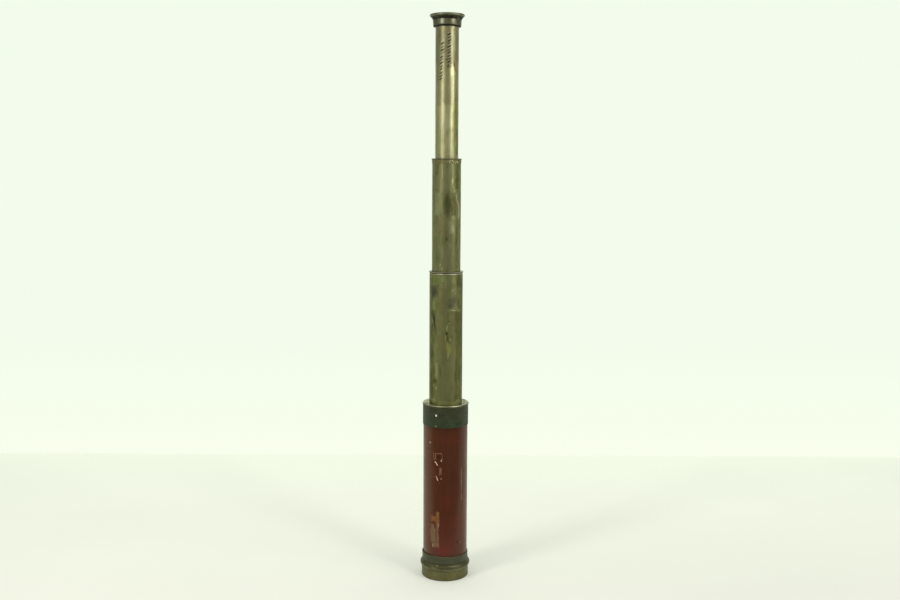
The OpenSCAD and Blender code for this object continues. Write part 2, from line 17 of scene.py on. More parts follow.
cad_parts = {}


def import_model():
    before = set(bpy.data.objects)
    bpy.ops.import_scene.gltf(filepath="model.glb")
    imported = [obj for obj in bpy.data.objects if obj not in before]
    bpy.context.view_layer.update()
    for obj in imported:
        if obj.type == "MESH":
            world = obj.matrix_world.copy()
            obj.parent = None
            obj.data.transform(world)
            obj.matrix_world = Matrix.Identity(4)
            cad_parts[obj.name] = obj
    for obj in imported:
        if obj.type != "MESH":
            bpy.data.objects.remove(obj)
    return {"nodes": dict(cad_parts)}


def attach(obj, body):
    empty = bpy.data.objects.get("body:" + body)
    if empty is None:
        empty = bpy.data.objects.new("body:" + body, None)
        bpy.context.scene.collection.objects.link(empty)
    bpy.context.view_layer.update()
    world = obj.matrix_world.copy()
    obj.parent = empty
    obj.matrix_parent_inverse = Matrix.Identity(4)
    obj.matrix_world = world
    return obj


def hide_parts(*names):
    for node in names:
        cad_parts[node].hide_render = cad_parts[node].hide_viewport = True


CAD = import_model()["nodes"]
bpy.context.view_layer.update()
MM = 0.001
rng = np.random.default_rng(41)

Reach = namedtuple("Reach", "inner outer low high")


def reach(node):
    """Inner and outer radius, lowest and highest z of a turned CAD node."""
    mesh = CAD[node].data
    co = np.zeros(len(mesh.vertices) * 3)
    mesh.vertices.foreach_get("co", co)
    co = co.reshape(-1, 3) / MM
    radius = np.hypot(co[:, 0], co[:, 1])
    return Reach(radius.min(), radius.max(), co[:, 2].min(), co[:, 2].max())


wood = reach("barrel_tube")
upper = reach("upper_ferrule")
lower = reach("lower_ferrule")
mouth = reach("barrel_mouth_ring")
cell = reach("objective_cell")
cap = reach("objective_cap")
tube_3, tube_2, tube_1 = (reach(f"draw_{number}_tube") for number in (3, 2, 1))
collar_3 = reach("draw_3_collar")
collar_2 = reach("draw_2_collar")
cup = reach("eye_cup")


# ------------------------------------------------------------------ falloffs and noise
def smooth(x, lo, hi):
    t = np.clip((x - lo) / (hi - lo), 0, 1)
    return t * t * (3 - 2 * t)


def near(x, centre, width):
    """A sharp peak."""
    return np.exp(-np.abs(x - centre) / width)


def bell(x, centre, width):
    return np.exp(-((x - centre) / width) ** 2)


def fade(distance, width):
    """1 up to zero distance, dying away beyond it."""
    return np.exp(-np.maximum(distance, 0) / width)


def wrap(deg):
    return (deg + 180) % 360 - 180


def value_noise(x, y, seed, period):
    """Smooth 2-D value noise in 0..1, with a whole-number period along x."""
    grid = np.random.default_rng(seed).random((256, 256))
    xi, yi = np.floor(x).astype(int), np.floor(y).astype(int)
    fx, fy = x - xi, y - yi
    fx, fy = fx * fx * (3 - 2 * fx), fy * fy * (3 - 2 * fy)

    def knot(i, j):
        return grid[i % period % 256, j % 256]

    low = knot(xi, yi) * (1 - fx) + knot(xi + 1, yi) * fx
    high = knot(xi, yi + 1) * (1 - fx) + knot(xi + 1, yi + 1) * fx
    return low * (1 - fy) + high * fy


class Points:
    """Points of a turned mesh, and fields over them. face is the radius widths are measured at."""

    def __init__(self, angle, z, radius, face):
        self.angle, self.z, self.radius, self.face = angle, z, radius, face

    def on(self, face):
        return Points(self.angle, self.z, self.radius, face)

    def off(self, centre=0):
        """Signed degrees from an angle."""
        return wrap(self.angle - centre)

    def across(self, centre):
        return np.radians(self.off(centre)) * self.face

    def noise(self, size, stretch, seed, octaves=3):
        """Closes round the back. size is a cell's width round, size * stretch its height."""
        total, amp, out = 0.0, 1.0, 0.0
        for k in range(octaves):
            count = max(3, int(round(2 * math.pi * self.face / size)) * 2 ** k)
            out = out + amp * value_noise((self.angle + 180) / 360 * count,
                                          self.z / (size * stretch) * 2 ** k, seed + 7 * k, count)
            total += amp
            amp *= 0.5
        return out / total

    def dents(self, rows):
        """Inward dents. Rows: angle, z, half width, half height, depth."""
        out = np.zeros_like(self.angle)
        for angle, z, half_width, half_height, depth in rows:
            side, up = self.across(angle) / half_width, (self.z - z) / half_height
            out -= depth * np.exp(-(side ** 2 + up ** 2))
        return out

    def marks(self, box=(), oval=(), line=()):
        """A field from 0 to 1, the strongest of its marks. Rows:
        box: first and last angle, first and last z, strength, soft, ragged, seed, cell, stretch
        oval: angle, z, half width, half height, strength, soft, tilt
        line: points (angle, z, optional width factor), width, strength, soft"""
        field = np.zeros_like(self.angle)
        for draw, rows in ((self._box, box), (self._oval, oval), (self._line, line)):
            for row in rows:
                field = np.maximum(field, draw(*row))
        return field

    def _oval(self, angle, z, half_width, half_height, strength=1, soft=0.5, tilt=0):
        side, up = self.across(angle), self.z - z
        if tilt:
            cos, sin = math.cos(math.radians(tilt)), math.sin(math.radians(tilt))
            side, up = side * cos + up * sin, -side * sin + up * cos
        reached = np.hypot(side / half_width, up / half_height)
        return strength * (1 - smooth(reached, 1 - soft, 1 + soft))

    def _line(self, points, width, strength=1, soft=0.4):
        middle = points[len(points) // 2][0]
        side, up = self.across(middle), self.z
        flat = [(math.radians(wrap(p[0] - middle)) * self.face, p[1], p[2] if len(p) > 2 else 1.0)
                for p in points]
        best = np.full_like(side, 1e9)
        for (x0, y0, w0), (x1, y1, w1) in zip(flat[:-1], flat[1:]):
            dx, dy = x1 - x0, y1 - y0
            u = ((side - x0) * dx + (up - y0) * dy) / max(dx * dx + dy * dy, 1e-9)
            u = np.clip(u, 0, 1)
            gap = np.hypot(side - x0 - u * dx, up - y0 - u * dy) - width / 2 * (w0 + (w1 - w0) * u)
            best = np.minimum(best, gap)
        return strength * (1 - smooth(best, -soft / 2, soft / 2))

    def _box(self, deg0, deg1, z0, z1, strength, soft, ragged=0, seed=1, size=3, stretch=2):
        side = self.across((deg0 + deg1) / 2)
        half_width, half_height = math.radians(deg1 - deg0) / 2 * self.face, (z1 - z0) / 2
        gap = np.maximum(np.abs(side) - half_width, np.abs(self.z - (z0 + z1) / 2) - half_height)
        if ragged:
            gap = gap + (self.noise(size, stretch, seed) - 0.5) * 2 * ragged
        return strength * (1 - smooth(gap, -soft / 2, soft / 2))


def scratches(count, angle, z, length, width, strength, lean=None, run=(2.4, 1), soft=0.6):
    """Random line rows. lean is the largest turn from upright, or None for a normal spread;
    run scales the length round (degrees) and along z."""
    rows = []
    for _ in range(count):
        start, foot, size = (float(rng.uniform(*span)) for span in (angle, z, length))
        turn = float(rng.uniform(-lean, lean) if lean else rng.normal(0, 0.35))
        end = (start + run[0] * size * math.sin(turn), foot + run[1] * size * math.cos(turn))
        rows.append(([(start, foot), end], float(rng.uniform(*width)),
                     float(rng.uniform(*strength)), soft))
    return rows


def all_round(at, seed):
    """Patches of the same kind as the listed ones, for the sides and the back."""
    turn = np.abs(at.off())
    away = smooth(turn, 64, 84)
    # deep darkens the sides towards the silhouette and all round the back: painted shade
    out = {"deep": 0.42 * smooth(turn, 62, 72)}
    # kind, noise level it starts at, strength
    kinds = (("green", 0.54, 0.6), ("brown", 0.56, 0.6), ("cloud", 0.60, 0.5), ("pale", 0.60, 0.5))
    for i, (kind, start, strength) in enumerate(kinds):
        noise = at.noise(13, 2.4, seed + 11 * i)
        out[kind] = away * strength * smooth(noise, start, start + 0.16)
    return out


# ------------------------------------------------------------------ turned meshes
def arc(centre_r, centre_z, radius, start, end, count):
    turns = [math.radians(start + (end - start) * i / count) for i in range(count + 1)]
    return [(centre_r + radius * math.cos(t), centre_z + radius * math.sin(t)) for t in turns]


def rounded(outline, radius, steps):
    """Rounds the corners of a closed (r, z) outline."""
    out, count = [], len(outline)
    for i, p in enumerate(outline):
        before, after = outline[i - 1], outline[(i + 1) % count]
        if p[0] <= 1e-6:
            out.append(tuple(p))
            continue
        u = np.array([before[0] - p[0], before[1] - p[1]])
        v = np.array([after[0] - p[0], after[1] - p[1]])
        len_u, len_v = np.linalg.norm(u), np.linalg.norm(v)
        if len_u < 1e-6 or len_v < 1e-6:
            continue
        u, v = u / len_u, v / len_v
        corner = math.acos(float(np.clip(u @ v, -1, 1)))
        if corner > math.radians(165):
            out.append(tuple(p))
            continue
        cut = min(radius / math.tan(corner / 2), len_u * 0.42, len_v * 0.42)
        fitted = cut * math.tan(corner / 2)
        inward = u + v
        inward = inward / np.linalg.norm(inward)
        centre = np.array(p) + inward * (fitted / math.sin(corner / 2))
        start, end = np.array(p) + u * cut, np.array(p) + v * cut
        turn0 = math.atan2(*(start - centre)[::-1])
        turn1 = math.atan2(*(end - centre)[::-1])
        sweep = (turn1 - turn0 + math.pi) % (2 * math.pi) - math.pi
        for k in range(steps + 1):
            t = turn0 + sweep * k / steps
            out.append((centre[0] + fitted * math.cos(t), centre[1] + fitted * math.sin(t)))
    return out


def outside(radius, height=-1):
    """Picks edges that lie beyond a radius and climb more than a height."""
    return lambda a, b: min(a[0], b[0]) > radius and abs(a[1] - b[1]) > height


def profile(outline, fillet, coarse, fine=None, where=None):
    """Rounds an outline by fillet (radius, steps) and splits its long edges.
    Edges that where picks are split by fine, a step or a list of z stations; the rest by coarse."""
    corners = rounded(outline, *fillet)
    out, count = [], len(corners)
    for i in range(count):
        a, b = corners[i], corners[(i + 1) % count]
        out.append(a)
        if a[0] <= 1e-6 and b[0] <= 1e-6:
            continue
        step = fine if where and where(a, b) else coarse
        if isinstance(step, list):
            zs = [z for z in step if min(a[1], b[1]) + 1e-4 < z < max(a[1], b[1]) - 1e-4]
            if b[1] < a[1]:
                zs = zs[::-1]
            for z in zs:
                t = (z - a[1]) / (b[1] - a[1])
                out.append((a[0] + (b[0] - a[0]) * t, z))
            continue
        parts = int(math.hypot(b[0] - a[0], b[1] - a[1]) / step)
        for k in range(1, parts):
            t = k / parts
            out.append((a[0] + (b[0] - a[0]) * t, a[1] + (b[1] - a[1]) * t))
    return out


def stations(parts):
    """Places along a range from (start, end, step) parts."""
    out = []
    for start, end, step in parts:
        count = max(1, int(round((end - start) / step)))
        out += [start + (end - start) * i / count for i in range(count)]
    return out


def even(count):
    """Evenly spaced angles all round."""
    return np.linspace(-180, 180, count, endpoint=False)


def new_object(name, verts, faces, mat):
    mesh = bpy.data.meshes.new(name)
    mesh.from_pydata(verts, [], faces)
    mesh.update()
    mesh.materials.append(mat)
    ob = bpy.data.objects.new(name, mesh)
    bpy.context.scene.collection.objects.link(ob)
    return ob


def turned(name, outline, body, node, mat, face, angles, shape, marks):
    """A closed turned mesh that replaces a CAD node. shape(at) gives the shift in (r, z);
    marks(at) gives {attribute: values}. An outline that starts and ends on the axis is capped."""
    angles = np.array(angles)
    around, rings = len(angles), len(outline)
    r1, z1 = np.array(outline, float).T
    angle, radius, z = np.tile(angles, rings), np.repeat(r1, around), np.repeat(z1, around)
    j = np.arange(around)
    k = (j + 1) % around

    def band(low, high):
        return np.stack([low + j, high + j, high + k, low + k], 1).tolist()

    if outline[0][0] <= 1e-6 and outline[-1][0] <= 1e-6:
        inside = slice(around, -around)
        angle = np.concatenate([[0], angle[inside], [0]])
        radius = np.concatenate([[0], radius[inside], [0]])
        z = np.concatenate([[z1[0]], z[inside], [z1[-1]]])
        starts = [1 + i * around for i in range(rings - 2)]
        tip = len(z) - 1
        faces = [(0, starts[0] + int(a), starts[0] + int(b)) for a, b in zip(j, k)]
        for low, high in zip(starts[:-1], starts[1:]):
            faces += band(low, high)
        faces += [(starts[-1] + int(a), tip, starts[-1] + int(b)) for a, b in zip(j, k)]
    else:
        faces = []
        for i in range(rings):
            faces += band(i * around, (i + 1) % rings * around)
    at = Points(angle, z, radius, face)
    shift_r, shift_z = shape(at)
    moved_r, moved_z, turn = radius + shift_r, z + shift_z, np.radians(angle)
    co = np.stack([moved_r * np.sin(turn), -moved_r * np.cos(turn), moved_z], 1) * MM
    ob = new_object(name, co.tolist(), faces, mat)
    mesh = ob.data
    # the signed volume tells which way the faces look
    mesh.calc_loop_triangles()
    tri = np.zeros(len(mesh.loop_triangles) * 3, np.int64)
    mesh.loop_triangles.foreach_get("vertices", tri)
    a, b, c = co[tri.reshape(-1, 3).T]
    if np.einsum("ij,ij->i", a, np.cross(b, c)).sum() < 0:
        mesh.flip_normals()
    mesh.shade_smooth()
    mesh.set_sharp_from_angle(angle=math.radians(38))
    for key, values in marks(at).items():
        attribute = mesh.attributes.new(key, "FLOAT", "POINT")
        attribute.data.foreach_set("value", np.clip(values, 0, 1).astype(np.float32))
    mesh.validate()
    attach(ob, body)
    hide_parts(node)


# ------------------------------------------------------------------ node graphs
def srgb(*channels):
    """sRGB 0-255 to linear, with alpha."""
    def linear(c):
        c = c / 255
        return c / 12.92 if c <= 0.04045 else ((c + 0.055) / 1.055) ** 2.4
    return tuple(linear(c) for c in channels) + (1.0,)


class Graph:
    """A shader node tree, emptied and ready to be filled."""

    def __init__(self, owner):
        owner.use_nodes = True
        self.tree = owner.node_tree
        self.tree.nodes.clear()

    def put(self, socket, value):
        if isinstance(value, bpy.types.NodeSocket):
            self.tree.links.new(value, socket)
        else:
            socket.default_value = value

    def node(self, kind, inputs=None, output=0, **props):
        """Adds a node, sets its properties and inputs, and returns one of its outputs."""
        node = self.tree.nodes.new("ShaderNode" + kind)
        for key, value in props.items():
            setattr(node, key, value)
        for key, value in (inputs or {}).items():
            self.put(node.inputs[key], value)
        return node.outputs[output]

    def end(self, kind, shader):
        self.put(self.tree.nodes.new("ShaderNodeOutput" + kind).inputs[0], shader)

    def split(self, vector):
        return tuple(self.node("SeparateXYZ", {0: vector}).node.outputs)

    def slope(self, value, lo, hi, start=0.0, end=1.0, kind="LINEAR"):
        """Maps lo..hi to start..end."""
        return self.node("MapRange", {"Value": value, "From Min": lo, "From Max": hi,
                                      "To Min": start, "To Max": end}, interpolation_type=kind)

    def step(self, value, lo, hi, start=0.0, end=1.0):
        """The same with soft ends."""
        return self.slope(value, lo, hi, start, end, "SMOOTHSTEP")

    def mix(self, amount, a, b, mode="MIX"):
        return self.node("Mix", {0: amount, 6: a, 7: b}, 2, data_type="RGBA", blend_type=mode)


class Material(Graph):
    """One Principled shader. Every texture is procedural, in object space, in millimetres."""

    def __init__(self, name):
        self.material = bpy.data.materials.new(name)
        super().__init__(self.material)
        self.coord = self.vector("MULTIPLY", self.node("TexCoord", output="Object"), (1000,) * 3)

    def shade(self, **inputs):
        named = {key.replace("_", " "): value for key, value in inputs.items()}
        self.end("Material", self.node("BsdfPrincipled", named))
        return self.material

    def vector(self, operation, a, b):
        return self.node("VectorMath", {0: a, 1: b}, operation=operation)

    def math(self, operation, terms):
        return functools.reduce(
            lambda a, b: self.node("Math", {0: a, 1: b, 2: 0.0}, operation=operation), terms)

    def mul(self, *terms):
        return self.math("MULTIPLY", terms)

    def add(self, *terms):
        return self.math("ADD", terms)

    def top(self, *terms):
        return self.math("MAXIMUM", terms)

    def place(self, size, off):
        """Coordinates for a texture with cells of size mm, or a size per axis."""
        size = size if isinstance(size, tuple) else (size,) * 3
        scaled = self.vector("MULTIPLY", self.coord, tuple(1.0 / s for s in size))
        return self.vector("ADD", scaled, off)

    def noise(self, size, detail, rough, off=(0, 0, 0), warp=0.0):
        return self.node("TexNoise", {
            "Vector": self.place(size, off), "Scale": 1.0, "Detail": detail,
            "Roughness": rough, "Distortion": warp})

    def cells(self, size, off):
        return self.node("TexVoronoi", {"Vector": self.place(size, off), "Scale": 1.0}, "Distance")

    def mark(self, name):
        return self.node("Attribute", output="Fac", attribute_name=name)

    def times(self, a, b):
        return self.mix(1.0, a, b, "MULTIPLY")

    def mixf(self, amount, a, b):
        return self.node("Mix", {0: amount, 2: a, 3: b}, data_type="FLOAT")

    def bump(self, height, depth, strength=1.0, normal=None):
        """depth is the height in mm that a value of 1 stands for."""
        inputs = {"Strength": strength, "Distance": depth * MM, "Height": height}
        if normal is not None:
            inputs["Normal"] = normal
        return self.node("Bump", inputs)


# ------------------------------------------------------------------ materials
def brass(name, clean, tarnish, dark, wear, rough, cover, seed, speck, lines,
          warm=0.3, pale_gain=1.6, along=True):
    """Old handled brass: clean metal under a patchy brown-green tarnish, streaks, specks, scratches,
    with painted highlights and painted shade where the marks lay them.
    rough: of clean and tarnished metal. cover: how much is tarnished. speck, lines, warm: strength
    of the spots, streaks and brown clouds. along: streaks run with the axis, else round it."""
    m = Material(name)
    clean, tarnish, dark, wear = (srgb(*colour) for colour in (clean, tarnish, dark, wear))
    rough_clean, rough_tarnish = rough
    off = x, y, z = seed * 3.1, seed * 7.7, seed * 1.3
    big = m.noise((17, 17, 34), detail=4, rough=0.6, off=off, warp=0.6)
    mid = m.noise((5, 5, 13) if along else (5, 5, 4), detail=4, rough=0.62, off=off, warp=0.3)
    streak = m.noise((1.1, 1.1, 45) if along else (30, 30, 0.5), detail=3, rough=0.6, off=off)
    hair = m.noise((0.22, 0.22, 16) if along else (18, 18, 0.12), detail=2, rough=0.5, off=off)
    fine = m.noise(0.55, detail=4, rough=0.65, off=off)
    body = m.add(m.mul(big, 0.5), m.mul(mid, 0.32), m.mul(streak, 0.3 * lines + 0.03))
    mask = m.step(body, 0.72 - cover * 0.5, 0.98 - cover * 0.5)
    colour = m.mix(mask, clean, tarnish)
    # warm copper-brown clouds under the green
    cloud = m.step(m.noise((7, 7, 11), detail=5, rough=0.65, off=(x + 9, y, z)), 0.48, 0.72)
    copper = (tarnish[0] * 1.15, tarnish[1] * 0.86, tarnish[2] * 0.62, 1)
    colour = m.mix(m.mul(cloud, warm), colour, copper)
    size = m.step(m.noise(6, detail=2, rough=0.5, off=(x, y + 5, z)), 0.4, 0.75)
    spots = m.mul(m.step(m.cells(2.6, off), 0.05, 0.22, 1.0, 0.0), size, speck)
    grit = m.mul(m.step(fine, 0.58, 0.72), 0.35 * speck)
    # marked patches, each with a broken edge: what the colour is multiplied by. The deep tint is
    # mostly painted shade, the pale one cleaner metal brightened as a painted highlight
    broken = m.mul(m.add(fine, mid, -1.0), 0.45)
    tints = {"green": (0.86, 0.98, 0.74, 1), "brown": (1.04, 0.91, 0.86, 1),
             "cloud": (0.42, 0.44, 0.56, 1), "deep": (0.50, 0.50, 0.39, 1),
             "pale": (pale_gain, pale_gain * 1.01, pale_gain * 1.06, 1)}
    patch = {}
    for key, tint in tints.items():
        patch[key] = m.step(m.add(m.mark(key), broken), 0.10, 1.0)
        colour = m.mix(patch[key], colour, m.times(colour, tint))
    # this mark holds real stains and also painted shade in creases, recesses and where parts meet
    stain = m.add(m.mark("stain"), m.mul(m.add(fine, m.mul(mid, 1.0)), 0.35))
    dirt_and_shade = m.top(m.step(stain, 0.42, 1.15), spots, grit)
    colour = m.mix(dirt_and_shade, colour, dark)
    # this mark holds rubbed bright metal and also painted highlights and glints
    rub = m.step(m.add(m.mark("wear"), m.mul(m.add(streak, fine), 0.3)), 0.5, 1.1)
    colour = m.mix(rub, colour, wear)
    lift = m.step(hair, 0.35, 0.68, 0.93, 1.08)
    colour = m.times(colour, m.node("CombineColor", {0: lift, 1: lift, 2: lift}))
    roughness = m.mixf(mask, rough_clean, rough_tarnish)
    roughness = m.mixf(patch["pale"], roughness, rough_clean)
    roughness = m.mixf(patch["cloud"], roughness, rough_tarnish * 1.12)
    roughness = m.mixf(m.mul(dirt_and_shade, 0.8), roughness, 0.6)
    roughness = m.mixf(rub, roughness, rough_clean * 0.9)
    roughness = m.add(roughness, m.step(hair, 0.3, 0.7, -0.04, 0.05))
    normal = m.bump(m.add(m.mul(hair, 0.6), m.mul(streak, 0.6 * lines)), 0.012, 0.9)
    normal = m.bump(m.add(m.mul(fine, 0.7), m.mul(dirt_and_shade, -0.6)), 0.02, 0.8, normal)
    normal = m.bump(mid, 0.10, 0.5, normal)
    return m.shade(Base_Color=colour, Metallic=1.0, Roughness=roughness, Normal=normal)


def japan(name, deep, pale, brown):
    """Green-black satin lacquer, with pinholes and brass showing where it is worn."""
    m = Material(name)
    big = m.noise((14, 14, 9), detail=4, rough=0.6, off=(3, 1, 4), warp=0.5)
    fine = m.noise(0.7, detail=4, rough=0.65, off=(5, 2, 1))
    hair = m.noise((16, 16, 0.3), detail=3, rough=0.55, off=(1, 8, 2))
    patchy = m.step(big, 0.3, 0.7)
    colour = m.mix(patchy, srgb(*deep), srgb(*pale))
    browned = m.step(m.noise((5, 5, 8), detail=5, rough=0.6, off=(2, 9, 6)), 0.55, 0.75)
    colour = m.mix(m.mul(browned, 0.4), colour, srgb(*brown))
    pin = m.mul(m.step(m.cells(1.9, (4, 4, 4)), 0.03, 0.12, 1.0, 0.0), m.step(big, 0.5, 0.62))
    wear = m.step(m.add(m.mark("wear"), m.mul(m.add(fine, hair), 0.32)), 0.62, 0.95)
    bare = m.top(wear, m.mul(pin, 0.7))
    verdigris = m.times(colour, (0.72, 1.16, 0.98, 1))
    colour = m.mix(m.mul(m.mark("verd"), 0.55), colour, verdigris)
    # this mark darkens the lacquer: real grime round the screws, a darker foot on the lower ferrule,
    # and painted shade on its top face against the wood
    stain = m.step(m.add(m.mark("stain"), m.mul(fine, 0.3)), 0.4, 1.0)
    colour = m.mix(stain, colour, srgb(16, 18, 12))
    colour = m.mix(bare, colour, srgb(140, 134, 84))
    # the big noise is ramped once more for the roughness
    roughness = m.mixf(m.step(big, 0.3, 0.7), 0.34, 0.5)
    roughness = m.mixf(bare, roughness, 0.36)
    normal = m.bump(m.add(fine, m.mul(hair, 0.5)), 0.02, 0.8)
    normal = m.bump(m.mul(bare, -1.0), 0.02, 1.0, normal)
    normal = m.bump(big, 0.06, 0.5, normal)
    return m.shade(Base_Color=colour, Metallic=m.mul(bare, 0.9), Roughness=roughness,
                   Normal=normal, Specular_IOR_Level=0.24)


def mahogany():
    """Red-brown hardwood under an old varnish, worn and chipped down to the pale wood in places."""
    m = Material("varnished_mahogany")
    warp = m.noise((9, 9, 60), detail=3, rough=0.5, off=(2, 5, 1), warp=0.4)
    grain = m.noise((1.0, 1.0, 34), detail=5, rough=0.62, off=(7, 3, 2), warp=0.25)
    pores = m.noise((0.28, 0.28, 5.0), detail=2, rough=0.5, off=(4, 6, 9))
    fine = m.noise(0.4, detail=4, rough=0.65, off=(3, 3, 8))
    big = m.noise((22, 22, 40), detail=3, rough=0.55, off=(6, 1, 7), warp=0.4)
    colour = m.mix(m.step(grain, 0.28, 0.74), srgb(71, 35, 18), srgb(80, 40, 21))
    colour = m.mix(m.mul(m.step(warp, 0.42, 0.7), 0.3), colour, srgb(69, 32, 17))
    colour = m.mix(m.mul(m.step(pores, 0.56, 0.7), 0.22), colour, srgb(46, 21, 15))
    # the tan mark lightens the wood down both sides, most on the left: painted light
    colour = m.mix(m.mul(m.mark("tan"), 0.7), colour, srgb(94, 54, 29))
    colour = m.mix(m.mul(m.step(big, 0.45, 0.75), 0.35), colour, srgb(82, 37, 22))
    colour = m.mix(m.mul(m.mark("red"), 0.75), colour, srgb(100, 36, 26))
    colour = m.mix(m.mul(m.mark("stain"), 0.85), colour, srgb(28, 17, 11))
    # hairline scratches in the varnish, round and along
    hair_round = m.noise((0.9, 0.9, 0.07), detail=2, rough=0.5, off=(9, 9, 9), warp=1.2)
    hair_along = m.noise((0.16, 0.16, 7), detail=2, rough=0.5, off=(1, 2, 9), warp=0.6)
    hair = m.mul(m.step(m.top(hair_round, hair_along), 0.70, 0.76), m.step(big, 0.45, 0.6))
    colour = m.mix(m.mul(hair, 0.3), colour, srgb(140, 96, 74))
    # the worn patches: raw wood, honey-coloured or mossy where marked so
    worn = m.add(m.mark("worn"), m.mul(m.add(fine, grain, -1.0), 0.5))
    worn = m.step(worn, 0.12, 0.95)
    raw = m.mix(m.step(grain, 0.35, 0.66), srgb(110, 81, 57), srgb(133, 104, 77))
    blotch = m.step(m.noise((2.2, 2.2, 3.4), detail=4, rough=0.6, off=(8, 8, 1)), 0.48, 0.66)
    raw = m.mix(m.mul(blotch, 0.6), raw, srgb(92, 62, 44))
    honey = m.mix(m.step(grain, 0.35, 0.66), srgb(112, 68, 34), srgb(138, 92, 50))
    raw = m.mix(m.step(m.mark("honey"), 0.1, 0.9), raw, honey)
    raw = m.mix(m.mul(m.mark("moss"), 0.6), raw, srgb(98, 90, 62))
    raw = m.mix(m.mul(m.step(pores, 0.5, 0.68), 0.4), raw, srgb(80, 50, 34))
    colour = m.mix(worn, colour, raw)
    # scuffs show lighter wood; one scuff line at 47 degrees is a painted glint
    crumbs = m.add(fine, m.noise(1.6, detail=3, rough=0.6, off=(5, 5, 5)), -1.0)
    scuff = m.step(m.add(m.mark("scuff"), m.mul(crumbs, 0.9)), 0.25, 1.0)
    scuffed = m.mix(m.step(fine, 0.4, 0.65), srgb(128, 90, 70), srgb(172, 130, 108))
    colour = m.mix(m.mul(scuff, 0.85), colour, scuffed)
    chip = m.step(m.add(m.mark("chip"), m.mul(m.add(fine, -0.5), 0.4)), 0.2, 0.8)
    colour = m.mix(chip, colour, srgb(232, 202, 182))
    bare = m.top(worn, scuff, chip)
    roughness = m.add(m.step(big, 0.3, 0.7, 0.24, 0.34), m.mul(m.step(fine, 0.4, 0.7), 0.05))
    roughness = m.mixf(bare, roughness, 0.62)
    normal = m.bump(m.add(m.mul(pores, 0.7), m.mul(grain, 0.6)), 0.03, 0.7)
    normal = m.bump(m.add(fine, m.mul(hair, -2.0)), 0.02, 0.8, normal)
    waves = m.noise((11, 11, 16), detail=2, rough=0.5, off=(1, 4, 4))
    normal = m.bump(waves, 0.35, 0.5, normal)
    return m.shade(Base_Color=colour, Metallic=0.0, Roughness=roughness, Normal=normal,
                   Specular_IOR_Level=0.22, Coat_Weight=m.mixf(bare, 0.14, 0.0),
                   Coat_Roughness=0.22, Coat_IOR=1.45)


def blackened():
    m = Material("blackened_brass")
    fine = m.noise(0.6, detail=4, rough=0.6)
    big = m.noise(6, detail=3, rough=0.5, off=(4, 1, 1))
    colour = m.mix(m.step(big, 0.35, 0.7), srgb(22, 22, 20), srgb(38, 36, 30))
    return m.shade(Base_Color=colour, Metallic=0.3, Roughness=m.step(fine, 0.3, 0.7, 0.62, 0.8),
                   Normal=m.bump(fine, 0.02))


def glass():
    m = Material("optical_glass")
    dust = m.step(m.noise(0.5, detail=4, rough=0.7), 0.6, 0.8)
    haze = m.step(m.noise(9, detail=3, rough=0.5), 0.3, 0.8, 0.0, 0.02)
    return m.shade(Base_Color=(0.93, 0.97, 0.95, 1), Metallic=0.0, IOR=1.52,
                   Roughness=m.add(m.mul(dust, 0.06), haze), Transmission_Weight=1.0)


def wax():
    m = Material("engraving_black")
    fine = m.noise(0.2, detail=3, rough=0.6)
    colour = m.mix(m.step(fine, 0.35, 0.7), srgb(24, 20, 8), srgb(46, 40, 20))
    return m.shade(Base_Color=colour, Metallic=0.1, Roughness=m.step(fine, 0.3, 0.7, 0.5, 0.75),
                   Normal=m.bump(fine, 0.01))


def burr_highlight_material():
    """Bright metal thrown up beside each engraved stroke, its brightness a painted highlight."""
    m = Material("engraving_burr_highlight")
    fine = m.noise(0.25, detail=3, rough=0.6)
    colour = m.mix(m.step(fine, 0.35, 0.7), srgb(150, 146, 108), srgb(206, 202, 164))
    return m.shade(Base_Color=colour, Metallic=0.35, Roughness=0.42, Normal=m.bump(fine, 0.02))


def screw_brass():
    """Screw heads: a near-white painted highlight on the upper row except on the right, darker and
    duller elsewhere.
    """
    m = Material("screw_brass")
    x, _, z = m.split(m.coord)
    upper_row = m.step(z, 209, 212)
    side = m.step(x, 4, 10, 1.0, 0.0)
    # clean marks where the near-white painted highlight goes, smoother and less metallic there
    clean = m.mul(upper_row, side)
    fine = m.noise(0.35, detail=4, rough=0.6, off=(3, 1, 2))
    colour = m.mix(m.step(fine, 0.35, 0.65), srgb(126, 126, 100), srgb(164, 162, 130))
    dull = m.mul(m.step(side, 0.2, 0.9, 1.0, 0.0), 0.75)
    colour = m.mix(dull, colour, srgb(58, 60, 44))
    colour = m.mix(clean, colour, srgb(252, 250, 236))
    return m.shade(Base_Color=colour, Metallic=m.mixf(clean, 1.0, 0.55),
                   Roughness=m.mixf(clean, 0.5, 0.26), Normal=m.bump(fine, 0.01))


draw_1_brass = brass(
    "draw_1_brass", clean=(214, 210, 160), tarnish=(174, 170, 112), dark=(84, 76, 46),
    wear=(236, 230, 188), rough=(0.31, 0.43), cover=0.44, seed=1, speck=0.3, lines=0.8,
    warm=0.25, pale_gain=1.35)
draw_2_brass = brass(
    "draw_2_brass", clean=(178, 178, 128), tarnish=(148, 149, 103), dark=(72, 75, 52),
    wear=(226, 224, 172), rough=(0.36, 0.50), cover=0.6, seed=2, speck=0.3, lines=0.7,
    warm=0.35, pale_gain=2.3)
draw_3_brass = brass(
    "draw_3_brass", clean=(180, 181, 126), tarnish=(154, 156, 104), dark=(72, 76, 54),
    wear=(222, 222, 122), rough=(0.40, 0.52), cover=0.62, seed=3, speck=0.45, lines=0.6,
    warm=0.40, pale_gain=2.1)
ring_brass = brass(
    "ring_brass", clean=(176, 174, 140), tarnish=(134, 136, 106), dark=(50, 52, 36),
    wear=(248, 244, 214), rough=(0.30, 0.46), cover=0.6, seed=4, speck=0.5, lines=0.8,
    along=False)
